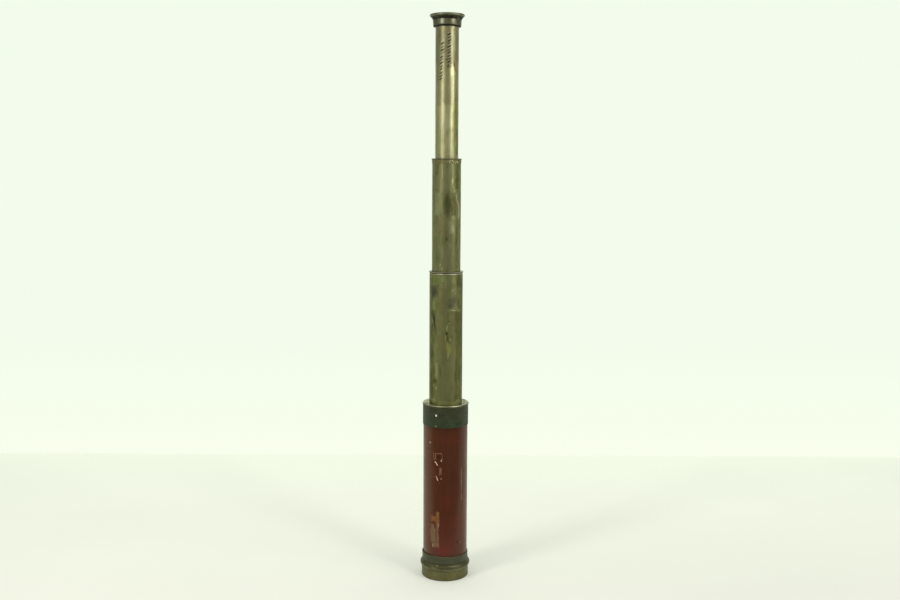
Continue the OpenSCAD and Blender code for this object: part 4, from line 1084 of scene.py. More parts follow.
# rows as in Points.marks
DRAW_3_MARKS = {
    # cloud: tarnish; the two long boxes past 64 degrees on both sides are painted shade
    "cloud": {"box": [
        (-60, -29, 367, 383, 0.78, 6.5, 2.2, 401), (-70, -54, 360, 380, 0.3, 5, 1.5, 402),
        (40, 58, 382, 397, 0.35, 4, 1.2, 404), (36, 70, 262.4, 265.6, 0.42, 2.2, 0.6, 405),
        (-88, -64, 232, 396, 0.45, 5, 1.5, 423, 4, 5), (66, 88, 232, 396, 0.5, 5, 1.5, 424, 4, 5),
    ], "oval": [
        (-46, 374.5, 4.6, 8.5, 1, 0.7), (22, 361, 8.6, 9, 0.6, 0.75, 10),
        (15, 357, 4.2, 5, 0.86, 0.8), (34, 364, 4.6, 7.5, 0.72, 0.8), (47, 360, 2.2, 7, 0.8, 0.8),
        (22, 347.4, 4.2, 3, 0.45, 0.8), (-66, 335, 3.8, 10, 0.5, 0.8), (-44, 340, 2.4, 5, 0.6, 0.8),
        (-47, 259.5, 4, 5, 0.42, 0.8), (-28, 282, 1.2, 8, 0.3, 0.8),
    ]},
    "green": {"box": [
        (-58, -20, 384.6, 393, 0.95, 3, 1, 406), (-20, 12, 386, 396, 0.55, 3, 1, 407),
        (-60, -40, 236, 330, 0.5, 6, 2.5, 408, 5, 5), (42, 62, 238, 345, 0.15, 6, 2.5, 409, 5, 5),
        (8, 18, 373.6, 380, 0.9, 2, 0.8, 410), (-52, -22, 344, 366, 0.45, 5, 2, 411),
        (-40, 30, 238, 262, 0.3, 6, 2, 412),
    ], "oval": [(3, 322, 1.4, 1.2, 0.9, 0.6)]},
    "brown": {"box": [
        (-17, -4, 282, 326, 0.75, 3.4, 1.6, 413, 3, 5), (-32, -8, 334, 372, 0.42, 5, 2, 414, 4, 4),
        (46, 70, 350, 380, 0.55, 4, 1.5, 415), (20, 48, 246, 332, 0.45, 6, 2, 416, 5, 6),
        (-27, -15, 262, 284, 0.5, 3, 1.2, 417), (4, 40, 329, 352, 0.5, 4, 1.5, 418),
    ], "oval": [(-4, 296, 1.6, 10, 0.6, 0.7), (-20, 308, 3, 16, 0.35, 0.8)]},
    # deep: mostly painted shade, down both sides and on patches beside the highlights
    "deep": {"box": [
        (34, 66, 236, 350, 0.98, 7, 2, 431, 5, 6), (38, 66, 350, 379, 0.62, 6, 1.8, 432, 4, 5),
        (39, 66, 379, 398, 0.9, 7, 1.8, 433, 3, 5), (-66, -37, 236, 352, 0.74, 6, 2, 434, 5, 6),
        (-66, -50, 352, 394, 0.5, 5, 1.6, 435), (18, 40, 330, 350, 0.4, 6, 1.8, 436),
        (-30, -12, 338, 366, 0.25, 5, 1.6, 437),
    ], "oval": [
        (-20, 273, 1.8, 11, 0.55, 0.8), (-45, 261.5, 4.6, 5.5, 0.95, 0.8),
        (2, 322, 1.9, 2.4, 0.9, 0.7), (5.6, 315, 1.1, 6.4, 0.66, 0.9),
    ]},
    # pale: cleaner, brighter metal, laid mostly where the lights' reflections fall: painted highlight
    "pale": {"box": [
        (-18, 6, 386.6, 396, 0.42, 3, 1, 419), (-3.5, 3, 375, 395, 0.36, 1.6, 0.7, 420, 1.2, 3),
        (21, 35, 385, 396, 0.32, 2.4, 0.8, 421), (-41, -27, 262.5, 284, 0.46, 3, 1.1, 422, 2, 4),
        (-14, 30, 236, 288, 0.27, 7, 2.4, 438, 5, 6),
    ], "oval": [
        (23.5, 377, 1.2, 2, 0.75, 0.6), (31, 378, 2.6, 1.2, 0.35, 0.7), (-20, 384, 0.8, 0.9, 0.6, 0.6),
        (-3, 384.2, 1.5, 0.7, 0.55, 0.6), (-54, 337, 2.2, 4, 0.6, 0.8, 14),
        (-30, 333.5, 0.8, 4.2, 0.55, 0.7), (-35, 269, 1.7, 7, 0.5, 0.7), (-47, 254, 1, 2, 0.65, 0.7),
        (-35.5, 251.4, 1.5, 2.2, 0.62, 0.7), (-27.5, 321.6, 1.2, 1.4, 0.42, 0.7),
        (-28, 306, 1.2, 1.9, 0.42, 0.7), (15.5, 314.6, 1.2, 2.6, 0.8, 0.6),
        (3.8, 328.6, 0.9, 4.6, 0.95, 0.7), (-1, 317.5, 0.8, 6, 0.7, 0.7),
        (12, 334.6, 1.5, 1, 0.7, 0.6), (36, 337, 1.1, 2.4, 0.35, 0.7), (5.5, 284, 0.8, 5, 0.3, 0.8),
    ], "line": [
        ([(3, 351.9, 0.5), (14, 352.2, 0.8), (24, 351.8, 1.2), (34, 350.7, 1), (38, 350.1, 0.5)],
         1, 0.95, 0.7),
        ([(11, 333), (17, 330.8), (25, 331), (32, 333), (35.5, 337), (31, 340.6), (22, 341)],
         0.6, 0.26, 0.7),
        ([(5.5, 311, 0.5), (9.5, 305, 1.3), (12, 300, 1.4), (9.6, 295, 0.8), (7, 290, 0.3)],
         4.6, 0.62, 3.4),
        ([(-48, 236.4, 0.7), (-25, 234.8, 1), (0, 233.9, 1.2), (25, 232.8, 1), (42, 232, 0.6)],
         1.7, 0.44, 2),
    ]},
    "wear": {"line": [
        ([(3.5, 310.6, 0.6), (7.6, 305.8, 1.3), (10.8, 300.8, 1.3), (9.4, 296, 0.8),
          (7.2, 290, 0.3)], 5.2, 0.64, 4.4),
        ([(6.8, 332.5, 1), (5.4, 328, 1.3), (3, 325, 0.8)], 1.7, 0.66, 1.5),
        ([(-2.2, 319.6, 0.9), (-1.6, 315, 1.2), (-2.4, 310.5, 0.5)], 1.4, 0.58, 1.4),
    ]},
    "stain": {"oval": [
        (-45.5, 339, 1.6, 3.4, 0.8, 0.8), (3, 321.8, 1.3, 0.8, 0.75, 0.6),
        (20, 316.4, 0.8, 1.2, 0.6, 0.6), (11, 310.8, 0.8, 0.7, 0.55, 0.6),
        (8.6, 337.2, 1, 0.7, 0.55, 0.6), (7, 382.6, 0.9, 0.9, 0.45, 0.7),
        (2.6, 376.4, 0.6, 1.8, 0.4, 0.7), (-21.5, 286, 0.6, 4, 0.25, 0.7),
    ], "line": [
        ([(-51, 350, 0.5), (-48, 345, 1.1), (-45.5, 339, 1.5), (-42, 333, 1), (-37, 326, 0.8),
          (-33, 320, 0.5)], 1.9, 0.68, 2.4),
        ([(-33, 342, 0.6), (-29.5, 336, 1), (-26.5, 331, 0.7)], 0.8, 0.45, 1.2),
        ([(5.6, 320), (8.2, 315.4), (9.6, 311)], 0.9, 0.5, 1.1),
        ([(-5, 383.6), (2, 383.4)], 0.5, 0.4, 0.6), ([(16, 392), (16.4, 379)], 0.5, 0.22, 0.8),
    ]},
}
DRAW_2_MARKS = {
    "cloud": {"box": [
        (36, 56, 504, 536, 0.48, 3, 1.4, 442, 3, 4), (-52, -30, 521, 538, 0.42, 3, 1.2, 443),
        (-60, -45, 404, 440, 0.4, 4, 1.6, 444), (40, 52, 464, 486, 0.4, 2.6, 1, 445),
    ], "oval": [
        (7, 481, 6.2, 14, 0.36, 0.9), (6, 477, 4.4, 9, 0.44, 0.9), (8, 473, 5, 6, 0.4, 0.9),
        (2, 441, 2.2, 3.6, 0.75, 0.7), (-1, 438, 3, 3, 0.35, 0.8), (2.5, 530.6, 0.9, 1.6, 0.55, 0.7),
        (58, 427, 2.4, 4, 0.4, 0.8),
    ]},
    "green": {"box": [
        (-54, -30, 520, 538, 0.6, 3, 1, 446), (36, 56, 503, 538, 0.8, 3, 1.2, 447, 3, 4),
        (-12, 22, 484, 498, 0.6, 3, 1, 448), (50, 68, 428, 470, 0.7, 3, 1.2, 449, 3, 4),
        (-66, -44, 402, 470, 0.6, 5, 2, 450, 4, 4), (-40, 0, 432, 445, 0.5, 4, 1.6, 451),
        (50, 62, 404, 428, 0.6, 3, 1.2, 452), (-50, -22, 470, 505, 0.35, 4, 1.6, 453),
    ]},
    "brown": {"box": [
        (-13, 20, 500, 536, 0.22, 3, 1.4, 454, 3, 4), (-22, -13, 506, 538, 0.8, 2, 0.8, 455),
        (-52, -22, 448, 470, 0.6, 4, 1.6, 456), (-16, 48, 400, 432, 0.2, 5, 2, 457, 5, 3),
        (-10, 12, 446, 466, 0.4, 4, 1.4, 458), (38, 50, 430, 464, 0.55, 3, 1.2, 459, 3, 4),
        (24, 36, 430, 448, 0.4, 3, 1.2, 460),
    ], "oval": [(-25, 463, 6, 3, 0.35, 0.8)]},
    # deep: mostly painted shade, down the sides and over the highlight bands
    "deep": {"box": [
        (36, 58, 503, 536, 0.52, 4, 1.6, 472, 3, 4), (37, 56, 402, 466, 0.62, 5, 1.8, 473, 4, 5),
        (-66, -36, 402, 445, 0.42, 5, 1.8, 474, 4, 5), (16, 36, 402, 449, 0.4, 4, 1.6, 475, 4, 5),
        (-34, -14, 446, 500, 0.5, 5, 1.8, 476, 4, 5), (-58, -34, 446, 535, 0.28, 5, 1.8, 477, 4, 5),
        (20, 40, 470, 500, 0.88, 4, 1.4, 478, 3, 4), (20, 40, 500, 538, 0.56, 4, 1.4, 479, 3, 4),
    ], "oval": [(6, 484, 6.4, 14.5, 0.86, 0.8), (16, 482, 4, 13, 0.6, 0.9)]},
    # pale: cleaner, brighter metal, laid mostly along the highlight columns: painted highlight
    "pale": {"box": [
        (-46, -37, 498, 520, 0.35, 2.6, 1, 461), (25, 44, 494, 504, 0.4, 3, 1.2, 462),
        (-14, 14, 402, 436, 0.26, 6, 2, 480, 5, 5), (-12, 18, 502, 534, 0.22, 5, 1.6, 481, 4, 5),
        (8, 37, 447, 465, 0.34, 7, 2.5, 463, 5, 5), (25, 35, 464, 486, 0.36, 2.4, 1, 464),
        (22, 34, 405, 449, 0.28, 3, 1.2, 465, 3, 5), (-52, -20, 470, 500, 0.46, 6, 2.2, 466, 4, 5),
        (-76, -66, 402, 534, 0.3, 3, 1.2, 467),
    ], "oval": [
        (25, 514, 1.5, 4.6, 0.85, 0.6), (44, 494, 1.3, 4.6, 0.7, 0.6), (57, 470, 1.5, 4.4, 0.6, 0.7),
        (28, 455, 2.2, 6.4, 0.55, 0.8), (16, 461, 3.2, 2.4, 0.4, 0.8), (-16.5, 422, 0.7, 9, 0.45, 0.7),
        (-25, 409, 1, 2.4, 0.6, 0.6), (-18, 403.6, 1, 2, 0.6, 0.6), (46, 410, 0.9, 3.4, 0.5, 0.7),
        (-28, 404, 1, 2, 0.4, 0.7),
    ], "line": [
        ([(-20, 537, 0.5), (-18, 531, 1.1), (-16.6, 524, 1.2), (-17.4, 516, 0.6)], 2, 0.48, 2),
        ([(-18.6, 508, 0.5), (-21, 500, 0.8), (-22, 492, 0.5)], 2, 0.32, 2),
        ([(25, 536, 0.5), (26.5, 524, 0.9), (25.5, 514, 1.4), (26, 506, 0.8)], 2.6, 0.55, 2.2),
        ([(29, 506, 0.6), (36, 500, 0.8), (43.5, 495, 1.2), (45, 489, 0.9)], 3, 0.6, 2.4),
        ([(52, 488, 0.8), (59, 481, 1.2), (61, 474, 1), (57.5, 467, 0.8)], 3.4, 0.75, 2.4),
        ([(-30, 474, 0.8), (-25, 468, 1), (-19, 465, 0.8)], 1.4, 0.5, 1.4),
    ]},
    # these ovals are the bright cores of the highlight columns: painted highlight
    "wear": {"oval": [
        (25, 514, 0.8, 3.2, 0.7, 0.6), (44, 493, 0.7, 3, 0.6, 0.6), (59, 478, 0.8, 4, 0.6, 0.6),
        (-16.6, 524, 0.6, 5, 0.5, 0.6),
    ]},
    "stain": {"oval": [(2, 440.6, 1, 1.8, 0.4, 0.7), (2.4, 531, 0.6, 1.1, 0.4, 0.6)], "line": [
        ([(-27, 402), (-24, 400.4)], 0.8, 0.4, 0.7), ([(24.5, 432), (24.5, 402)], 0.5, 0.18, 0.9),
    ]},
}
DRAW_1_MARKS = {
    "cloud": {"box": [
        (-62, -38, 630, 690, 0.5, 4, 1.6, 481, 3, 4), (-14, 14, 652, 698, 0.34, 3, 1.2, 482, 3, 4),
        (44, 66, 664, 700, 0.42, 3, 1.4, 483, 3, 4), (54, 72, 545, 578, 0.62, 3, 1.2, 484, 3, 4),
        (-62, -44, 570, 596, 0.35, 3, 1.4, 485), (-36, -20, 640, 684, 0.3, 3, 1.2, 486, 2, 2),
    ], "oval": [
        (39, 657, 2.2, 4.4, 0.55, 0.7), (46, 614, 0.9, 4.5, 0.45, 0.7), (9, 614, 0.9, 8, 0.3, 0.8),
        (39, 583, 1, 5, 0.4, 0.8),
    ]},
    "green": {"box": [
        (-62, -36, 655, 686, 0.6, 4, 1.4, 487), (44, 64, 574, 630, 0.95, 3, 1.4, 488, 3, 4),
        (-60, -32, 544, 582, 0.75, 4, 1.6, 489, 3, 4), (48, 70, 548, 575, 0.7, 3, 1.2, 490),
        (-60, -40, 625, 655, 0.4, 4, 1.5, 491),
    ]},
    "brown": {"box": [
        (-13, 8, 650, 702, 0.6, 3, 1.2, 492, 3, 4), (-12, 10, 609, 640, 0.75, 2.6, 1, 493, 3, 3),
        (36, 58, 648, 669, 0.98, 2.6, 1, 494, 3, 2), (-62, -44, 588, 612, 0.85, 3, 1.4, 495, 3, 3),
        (-12, 10, 549, 570, 0.62, 2.6, 1, 496, 2, 3), (4, 14, 588, 608, 0.35, 2, 0.8, 497),
        (-34, -14, 686, 702, 0.35, 3, 1, 498), (26, 44, 576, 590, 0.4, 2.6, 1, 499),
    ]},
    # deep: painted shade near the left side and beside the right highlight
    "deep": {"box": [
        (-60, -34, 652, 700, 0.34, 4, 1.4, 521, 3, 4), (40, 64, 544, 590, 0.22, 4, 1.4, 522, 3, 4),
        (29, 43, 656, 700, 0.42, 3, 1.2, 527, 3, 5),
    ]},
    # pale: cleaner, brighter metal, laid mostly where the lights' reflections fall: painted highlight
    "pale": {"box": [
        (-12, 26, 545, 606, 1, 5, 1.6, 523, 3, 5), (-56, -26, 546, 606, 0.8, 5, 1.6, 524, 3, 5),
        (31, 43, 600, 646, 0.8, 3, 1.2, 525, 3, 5), (-27, -16, 655, 700, 0.8, 3, 1.2, 526, 3, 5),
        (-26, -14, 584, 611, 0.62, 2.2, 0.9, 500, 2, 3), (-16, 10, 572, 608, 0.55, 2.6, 1, 501, 2, 3),
        (18, 52, 544, 562, 0.55, 3, 1.2, 502, 3, 2), (20, 36, 600, 640, 0.3, 3, 1.2, 503, 2, 4),
        (-40, -14, 544, 584, 0.3, 4, 1.4, 504, 3, 4), (-80, 80, 543, 545.6, 0.4, 1.2, 0.4, 505),
    ], "oval": [
        (27, 649, 3, 7.6, 1, 0.7), (34, 647, 2, 5, 0.8, 0.7), (22, 680, 0.9, 8, 0.45, 0.7),
        (8.6, 616, 0.35, 13, 0.6, 0.8), (-20, 684, 1.4, 5, 0.5, 0.7), (-24, 698, 1.4, 4, 0.4, 0.7),
        (19, 590, 0.6, 12, 0.4, 0.8), (-4, 570, 0.5, 7, 0.4, 0.8),
    ]},
    # this oval is the brightest spot of the right highlight: painted highlight
    "wear": {"oval": [(27, 649, 1.6, 4.6, 0.7, 0.7)]},
    "stain": {"oval": [
        (46, 613, 0.6, 3, 0.4, 0.7), (38.6, 584, 0.7, 3.4, 0.35, 0.8), (6, 559, 0.8, 8, 0.25, 0.8),
    ], "line": [
        ([(37, 660, 0.6), (39, 655, 1.2), (44, 651, 1), (52, 647.5, 0.6)], 1.1, 0.68, 1.2),
        ([(10, 606), (10.6, 590)], 0.55, 0.5, 0.8), ([(4.5, 600), (5, 584)], 0.5, 0.3, 0.8),
        ([(-13, 608.6), (8, 608.2)], 0.5, 0.3, 0.6), ([(11.5, 640), (12, 612)], 0.5, 0.42, 0.8),
    ]},
}

# rows as in Points.dents
DRAW_3_HOLLOWS = [
    (-55, 338, 6, 10, 0.22), (24, 361, 9, 8, 0.16), (9, 309, 5, 9, 0.14), (-36, 274, 5, 12, 0.16),
    (52, 300, 6, 18, 0.12), (-16, 352, 8, 8, 0.1), (-44, 375, 7, 7, 0.14), (22, 377, 3, 3, 0.08),
    (-30, 333, 2, 5, 0.08), (14, 335, 3, 3, 0.08), (-40, 253, 4, 4, 0.12), (110, 300, 6, 9, 0.2),
    (-140, 350, 8, 10, 0.2), (170, 262, 7, 9, 0.2)]
DRAW_2_HOLLOWS = [
    (6, 480, 5.5, 13, 0.20), (27, 512, 4, 8, 0.15), (45, 492, 4, 9, 0.16), (58, 476, 4, 9, 0.16),
    (-24, 468, 5, 6, 0.14), (27, 455, 4.5, 7, 0.16), (-36, 500, 5, 20, 0.12), (2, 440, 4, 5, 0.12),
    (57, 440, 4, 12, 0.12), (-20, 410, 4, 8, 0.08), (-17, 525, 3, 8, 0.08), (120, 470, 6, 9, 0.2),
    (-150, 430, 7, 9, 0.2)]
DRAW_1_HOLLOWS = [
    (42, 652, 3.4, 5, 0.16), (24, 648, 3, 7, 0.08), (-28, 640, 5, 9, 0.10), (0, 611, 4, 5, 0.10),
    (-24, 600, 4, 11, 0.09), (32, 588, 3.4, 10, 0.09), (-8, 562, 4, 9, 0.08), (36, 553, 4.5, 8, 0.10),
    (-46, 562, 4, 12, 0.09), (56, 600, 4, 18, 0.10), (14, 624, 2, 12, 0.05), (130, 610, 5, 8, 0.16),
    (-140, 650, 5, 8, 0.16)]
DRAW_1_NOISE = {"seed": 303, "wobble": 0.045}


def draw_3_gradients(at):
    top_end = smooth(at.z, 396, 390)
    return {
        # cloud: darker away from the front, down both sides: painted shade
        "cloud": [0.30 * smooth(at.z, 322, 380) * smooth(np.abs(at.off()), 20, 40),
                  0.62 * smooth(at.off(4), 38, 62) * top_end,
                  0.62 * smooth(-at.off(4), 42, 62) * top_end],
        # darker just above the mouth ring and just under the collar, where the parts meet: painted
        # shade
        "stain": [fade(at.z - 230.0, 0.9) * 0.40 * (0.4 + 0.8 * at.noise(7, 1, 201)),
                  0.45 * fade(396.2 - at.z, 0.4)]}


def draw_2_gradients(at):
    return {
        # cloud: darker down both sides: painted shade
        "cloud": [0.35 * smooth(-at.off(), 48, 62) * smooth(at.z, 540, 500),
                  0.35 * smooth(at.off(), 60, 70)],
        # darker where the tube leaves the collar below and under the milled collar: painted shade
        "stain": [0.45 * fade(at.z - 399.6, 1.0), 0.30 * fade(535.2 - at.z, 0.5)]}


def draw_1_gradients(at):
    level = 0.34 + 0.16 * smooth(np.abs(at.off(24)), 3, 8)
    # the cloud is tarnish over the upper part; the last row is a painted shadow just under the eye cup
    return {"cloud": [smooth(at.z, 648, 662) * level], "stain": [0.6 * fade(703.2 - at.z, 0.9)]}


draw_tube(3, tube_3, draw_3_brass, seen_from=229.0, marks=DRAW_3_MARKS,
          scratch_z=(236, 392), scratch_counts=(18, 14, 16), gradients=draw_3_gradients,
          patch_seed=430, hollows=DRAW_3_HOLLOWS, noise_seed=301, spacing=0.8, wobble=0.06)
draw_tube(2, tube_2, draw_2_brass, seen_from=399.0, marks=DRAW_2_MARKS,
          scratch_z=(402, 532), scratch_counts=(16, 10, 16), gradients=draw_2_gradients,
          patch_seed=470, hollows=DRAW_2_HOLLOWS, noise_seed=302, spacing=0.8, wobble=0.06)
draw_tube(1, tube_1, draw_1_brass, seen_from=541.0, marks=DRAW_1_MARKS,
          scratch_z=(546, 698), scratch_counts=(16, 10, 16), gradients=draw_1_gradients,
          patch_seed=510, hollows=DRAW_1_HOLLOWS, noise_seed=DRAW_1_NOISE["seed"], spacing=0.7,
          wobble=DRAW_1_NOISE["wobble"])


# ------------------------------------------------------------------ collar of the third draw
def collar_3_marks(at):
    radius, z, face = at.radius, at.z, tube_3.outer
    bead = (z < collar_3.high - 2.12) & (radius > face - 0.3)
    # groove and top_inside: the groove under the lip and the top inside face are darkened: painted
    # shade
    groove = ((z > collar_3.high - 2.2) & (z < collar_3.high - 1.2)
              & (radius < face + 0.3) & (radius > face - 0.6))
    rim = (z > collar_3.high - 1.25) & (radius > face + 0.2)
    patchy = 0.55 + 0.75 * at.noise(7, 1, 333)
    # front: the bead's brightness, more towards the front, is a painted highlight on top of real wear
    front = 0.55 + 0.45 * smooth(-np.abs(at.off(4)), -50, -20)
    top_inside = 0.4 * (z > collar_3.high - 0.2) * (radius < face + 0.2)
    return {"wear": bead * 0.92 * patchy * front + rim * 0.20 * patchy,
            "stain": groove * 0.75 + top_inside,
            "cloud": 0.45 * (rim & (z > collar_3.high - 0.35))}


def collar_3_shape(at):
    rim = (at.z > collar_3.high - 1.25) & (at.radius > tube_3.outer + 0.1)
    outer = at.on(collar_3.outer)
    return (-0.04 * outer.noise(9, 1, 331) * (at.radius > tube_3.outer + 0.2),
            0.05 * (outer.noise(15, 1, 332) - 1.0) * rim)


# radius beyond the tube's, z below the collar's top
COLLAR_3_LIP = [
    (-0.01, 3.05), (-0.01, 2.45), (-0.1, 2.15), (-0.35, 2.1), (-0.35, 1.3), (0.42, 1.15),
    (0.60, 0.9), (0.62, 0.4), (0.48, 0.1), (0.25, 0)]
collar_3_outline = [
    (collar_3.inner, collar_3.low), (tube_3.outer - 0.98, collar_3.low),
    (tube_3.outer - 0.98, tube_3.high + 0.04), (tube_3.outer - 0.12, tube_3.high + 0.04),
    *[(tube_3.outer + out, collar_3.high - down) for out, down in COLLAR_3_LIP],
    (collar_3.inner, collar_3.high)]
turned("draw_3_lip", profile(collar_3_outline, (0.08, 2), 10), "draw_3", "draw_3_collar",
       ring_brass, tube_3.outer, even(224), collar_3_shape, collar_3_marks)


# ------------------------------------------------------------------ milled collar, second draw
MILLED_RIDGES = 118
band_low, band_high = tube_2.high, collar_2.high - 1.6

# angle, z
MILLED_SPECKS = [(10, 537.4), (15, 535.9), (21, 538.2), (27, 536.6), (33, 538.0), (38, 536.0),
                 (44, 537.8), (50, 536.8), (25, 539.0), (14, 538.9)]
MILLED_PITS = [(12.4, 538.8), (18, 537.0), (24, 538.6), (30, 535.4), (30, 538.9), (36, 537.2),
               (41, 538.9), (41, 536.2), (47, 538.9), (7, 536.0), (21, 535.2), (53, 538.2)]


def collar_2_shape(at):
    band = (at.radius > tube_2.outer + 0.02) & (at.z > band_low + 0.3) & (at.z < band_high - 0.5)
    # how much of the milling is left
    kept = 0.25 + 0.75 * smooth(at.angle, -20, 0) * (1 - smooth(at.angle, 96, 120))
    kept = np.maximum(kept, 0.8 * smooth(np.abs(at.off(180)), 60, 20))
    kept = kept * (0.55 + 0.7 * at.noise(4, 0.5, 341, 2))
    wave = 0.5 - 0.5 * np.cos(np.radians(at.angle) * MILLED_RIDGES)
    milling = (-0.16 * wave * np.clip(kept, 0, 1) * smooth(at.z, band_low + 0.3, band_low + 0.9)
               * (1 - smooth(at.z, band_high - 1.1, band_high - 0.5)))
    lip = (at.radius > tube_2.outer + 0.4) * 1.0
    outer = at.on(collar_2.outer)
    return (milling * band - 0.03 * outer.noise(8, 1, 343) * lip,
            0.05 * (outer.noise(13, 1, 344) - 1.0) * lip)


def collar_2_marks(at):
    radius, z = at.radius, at.z
    lip = z > band_high + 0.2
    wear = (0.25 * near(radius, collar_2.outer, 0.18) * lip
            * (0.35 + 0.9 * at.on(collar_2.outer).noise(7, 1, 345)))
    stain = bell(radius, collar_2.outer - 0.55, 0.25) * lip * 0.35
    stain = np.maximum(stain, 0.30 * (z < collar_2.high - 1.6) * (z > band_high + 0.2 - 2)
                       * (radius < collar_2.outer - 0.4))
    band = (z > band_low) & (z < band_high) & (radius > tube_2.outer - 0.1)
    wave = 0.5 + 0.5 * np.cos(np.radians(at.angle) * MILLED_RIDGES)
    # rubbed and the specks brighten the ridge tops only on the front right, where the light's
    # reflection falls: painted highlight on worn milling; the band is also darker, most between the
    # ridges
    rubbed = (0.60 * wave ** 2 * smooth(at.angle, -12, 4) * (1 - smooth(at.angle, 70, 96))
              * (0.3 + 0.9 * at.noise(2.2, 0.6, 347, 2)))
    wear = np.where(band, rubbed, wear)
    stain = np.where(band, 0.30 * (1 - wave * 0.5), stain)
    specks = at.marks(oval=[(*place, 0.80, 0.85, 1.0, 0.4) for place in MILLED_SPECKS])
    pits = at.marks(oval=[(*place, 0.75, 0.75, 0.95, 0.5) for place in MILLED_PITS])
    return {"wear": np.maximum(wear * (1 - pits), specks * band),
            "stain": np.maximum(stain, np.clip(pits - specks, 0, 1) * band),
            "pale": np.zeros_like(z), "brown": 0.7 * band,
            "cloud": 0.75 * (z > band_high + 0.1) * (radius > tube_2.outer + 0.1)}


collar_2_outline = [
    (collar_2.inner, collar_2.low), (tube_2.outer - 0.98, collar_2.low),
    (tube_2.outer - 0.98, band_low + 0.02), (tube_2.outer + 0.1, band_low + 0.02),
    (tube_2.outer + 0.2, band_low + 0.2), (tube_2.outer + 0.25, band_high - 0.35),
    (tube_2.outer + 0.1, band_high), (tube_2.outer + 0.6, band_high + 0.25),
    (tube_2.outer + 0.75, collar_2.high - 0.6), (tube_2.outer + 0.65, collar_2.high - 0.15),
    (tube_2.outer + 0.35, collar_2.high), (collar_2.inner, collar_2.high)]
turned("draw_2_milled_collar",
       profile(collar_2_outline, (0.09, 2), 10, 0.35, outside(tube_2.outer + 0.05, 1)),
       "draw_2", "draw_2_collar", draw_2_brass, tube_2.outer,
       even(MILLED_RIDGES * 8), collar_2_shape, collar_2_marks)


# ------------------------------------------------------------------ eye cup
# angle, width in degrees, depth of the nicks in the rim
CUP_NICKS = [(12, 9, 0.45), (36, 5, 0.30), (-52, 8, 0.25), (190, 10, 0.3)]
NECK = 17.8                     # radius that the marks on the side are measured at


def cup_shape(at):
    rim = smooth(at.radius, 20.6, 21.6)
    shift = -0.05 * at.noise(9, 1, 351)
    shift += at.dents([(-35, 711, 4, 3, 0.08), (42, 707, 4, 3, 0.08), (120, 709, 4, 3, 0.1)])
    nick = sum(depth * bell(at.off(angle), 0, width) for angle, width, depth in CUP_NICKS)
    return (np.minimum(shift, 0) * (at.radius > 16.9) - 0.25 * nick * rim,
            -nick * rim * smooth(at.z, cup.high - 1.6, cup.high - 0.3))


def cup_marks(at):
    radius, z, low, high = at.radius, at.z, cup.low, cup.high
    side, neck = radius > 17.0, at.on(NECK)
    wear = 0.45 * bell(radius, cup.outer, 0.3) * (0.3 + 0.9 * at.noise(6, 1, 353))
    # a lighter line round the foot's bead: painted highlight
    wear = np.maximum(wear, 0.6 * bell(z, low + 1.9, 0.35) * side
                      * (0.4 + 0.8 * at.on(17).noise(6, 1, 355)))
    # bright spots on the neck where the lights' reflections fall: painted highlights
    wear = np.maximum(wear, side * neck.marks(oval=[
        (-21, low + 5.2, 1.9, 3.6, 0.9, 0.7), (22, low + 6.2, 1.3, 1.8, 0.7, 0.6),
        (50, low + 8.6, 1.2, 1.0, 0.6, 0.6)]))
    # the underside of the flare is darkened: painted shade
    stain = (0.62 * smooth(z, low + 7.2, low + 8.6) * (1 - smooth(radius, 20.4, 21.2))
             * (radius > 17.5))
    # a dark band at the cup's foot, over the tube: painted shadow
    stain = np.maximum(stain, 1.0 * (z < low + 0.95) * (radius > 14.0))
    # darker inside the hollow on the eye's side
    stain = np.maximum(stain, 0.7 * (radius < 18.6) * (z > high - 3.1))
    brown = neck.marks(box=[(-60, -20, low + 1, high, 0.4, 4, 1, 641),
                            (0, 60, low + 1, high, 0.6, 4, 1, 642)])
    cloud = (neck.marks(box=[(30, 48, low + 2, low + 8, 0.5, 3, 1, 643)])
             + 0.45 * smooth(z, low + 7.0, low + 8.6))
    return {"wear": wear, "stain": stain, "brown": brown * side, "cloud": cloud * side}


cup_bore = tube_1.outer + 0.02
# radius, z above the cup's foot
CUP_FOOT = [(17.1, 0), (17.45, 0.4), (17.3, 0.9), (17.55, 1.3), (17.7, 2.4), (17.8, 5), (17.95, 7.4)]
# radius, z below the cup's rim: the hollow on the eye's side, then the inside
CUP_HOLLOW = [(18.75, 0), (18.45, 0.3), (18.45, 2.98), (15.6, 2.98), (15.6, 4.3), (4.6, 4.3),
              (5.2, 6.2), (11.82, 6.2)]
cup_outline = [
    (cup_bore, cup.low), *[(radius, cup.low + up) for radius, up in CUP_FOOT],
    *[(17.95 + (cup.outer - 17.95) * (i / 16) ** 1.9,      # the flare
       cup.low + 7.4 + (i / 16) * (cup.high - cup.low - 9.3)) for i in range(1, 17)],
    (cup.outer, cup.high - 1.2), (cup.outer - 0.15, cup.high - 0.5),
    (cup.outer - 0.5, cup.high - 0.08), (cup.outer - 1, cup.high),
    *[(radius, cup.high - down) for radius, down in CUP_HOLLOW],
    (11.82, cup.low + 5.9), (cup_bore, cup.low + 5.9)]
turned("eye_cup_body", profile(cup_outline, (0.1, 2), 5, 0.8, outside(17.0)),
       "draw_1", "eye_cup", cup_brass, cup.outer, even(256), cup_shape, cup_marks)


# ------------------------------------------------------------------ engraving on the first draw
# angle, twist in degrees, lowest z, length, height, period, flourish at the start, pen width
ENGRAVED_ROWS = [(-28, 11, 636.5, 47.5, 4.4, 3.9, False, 1.45),
                 (10.0, 0, 657.5, 37.0, 4.4, 3.7, True, 1.5)]
STROKE_DEPTH = 0.25


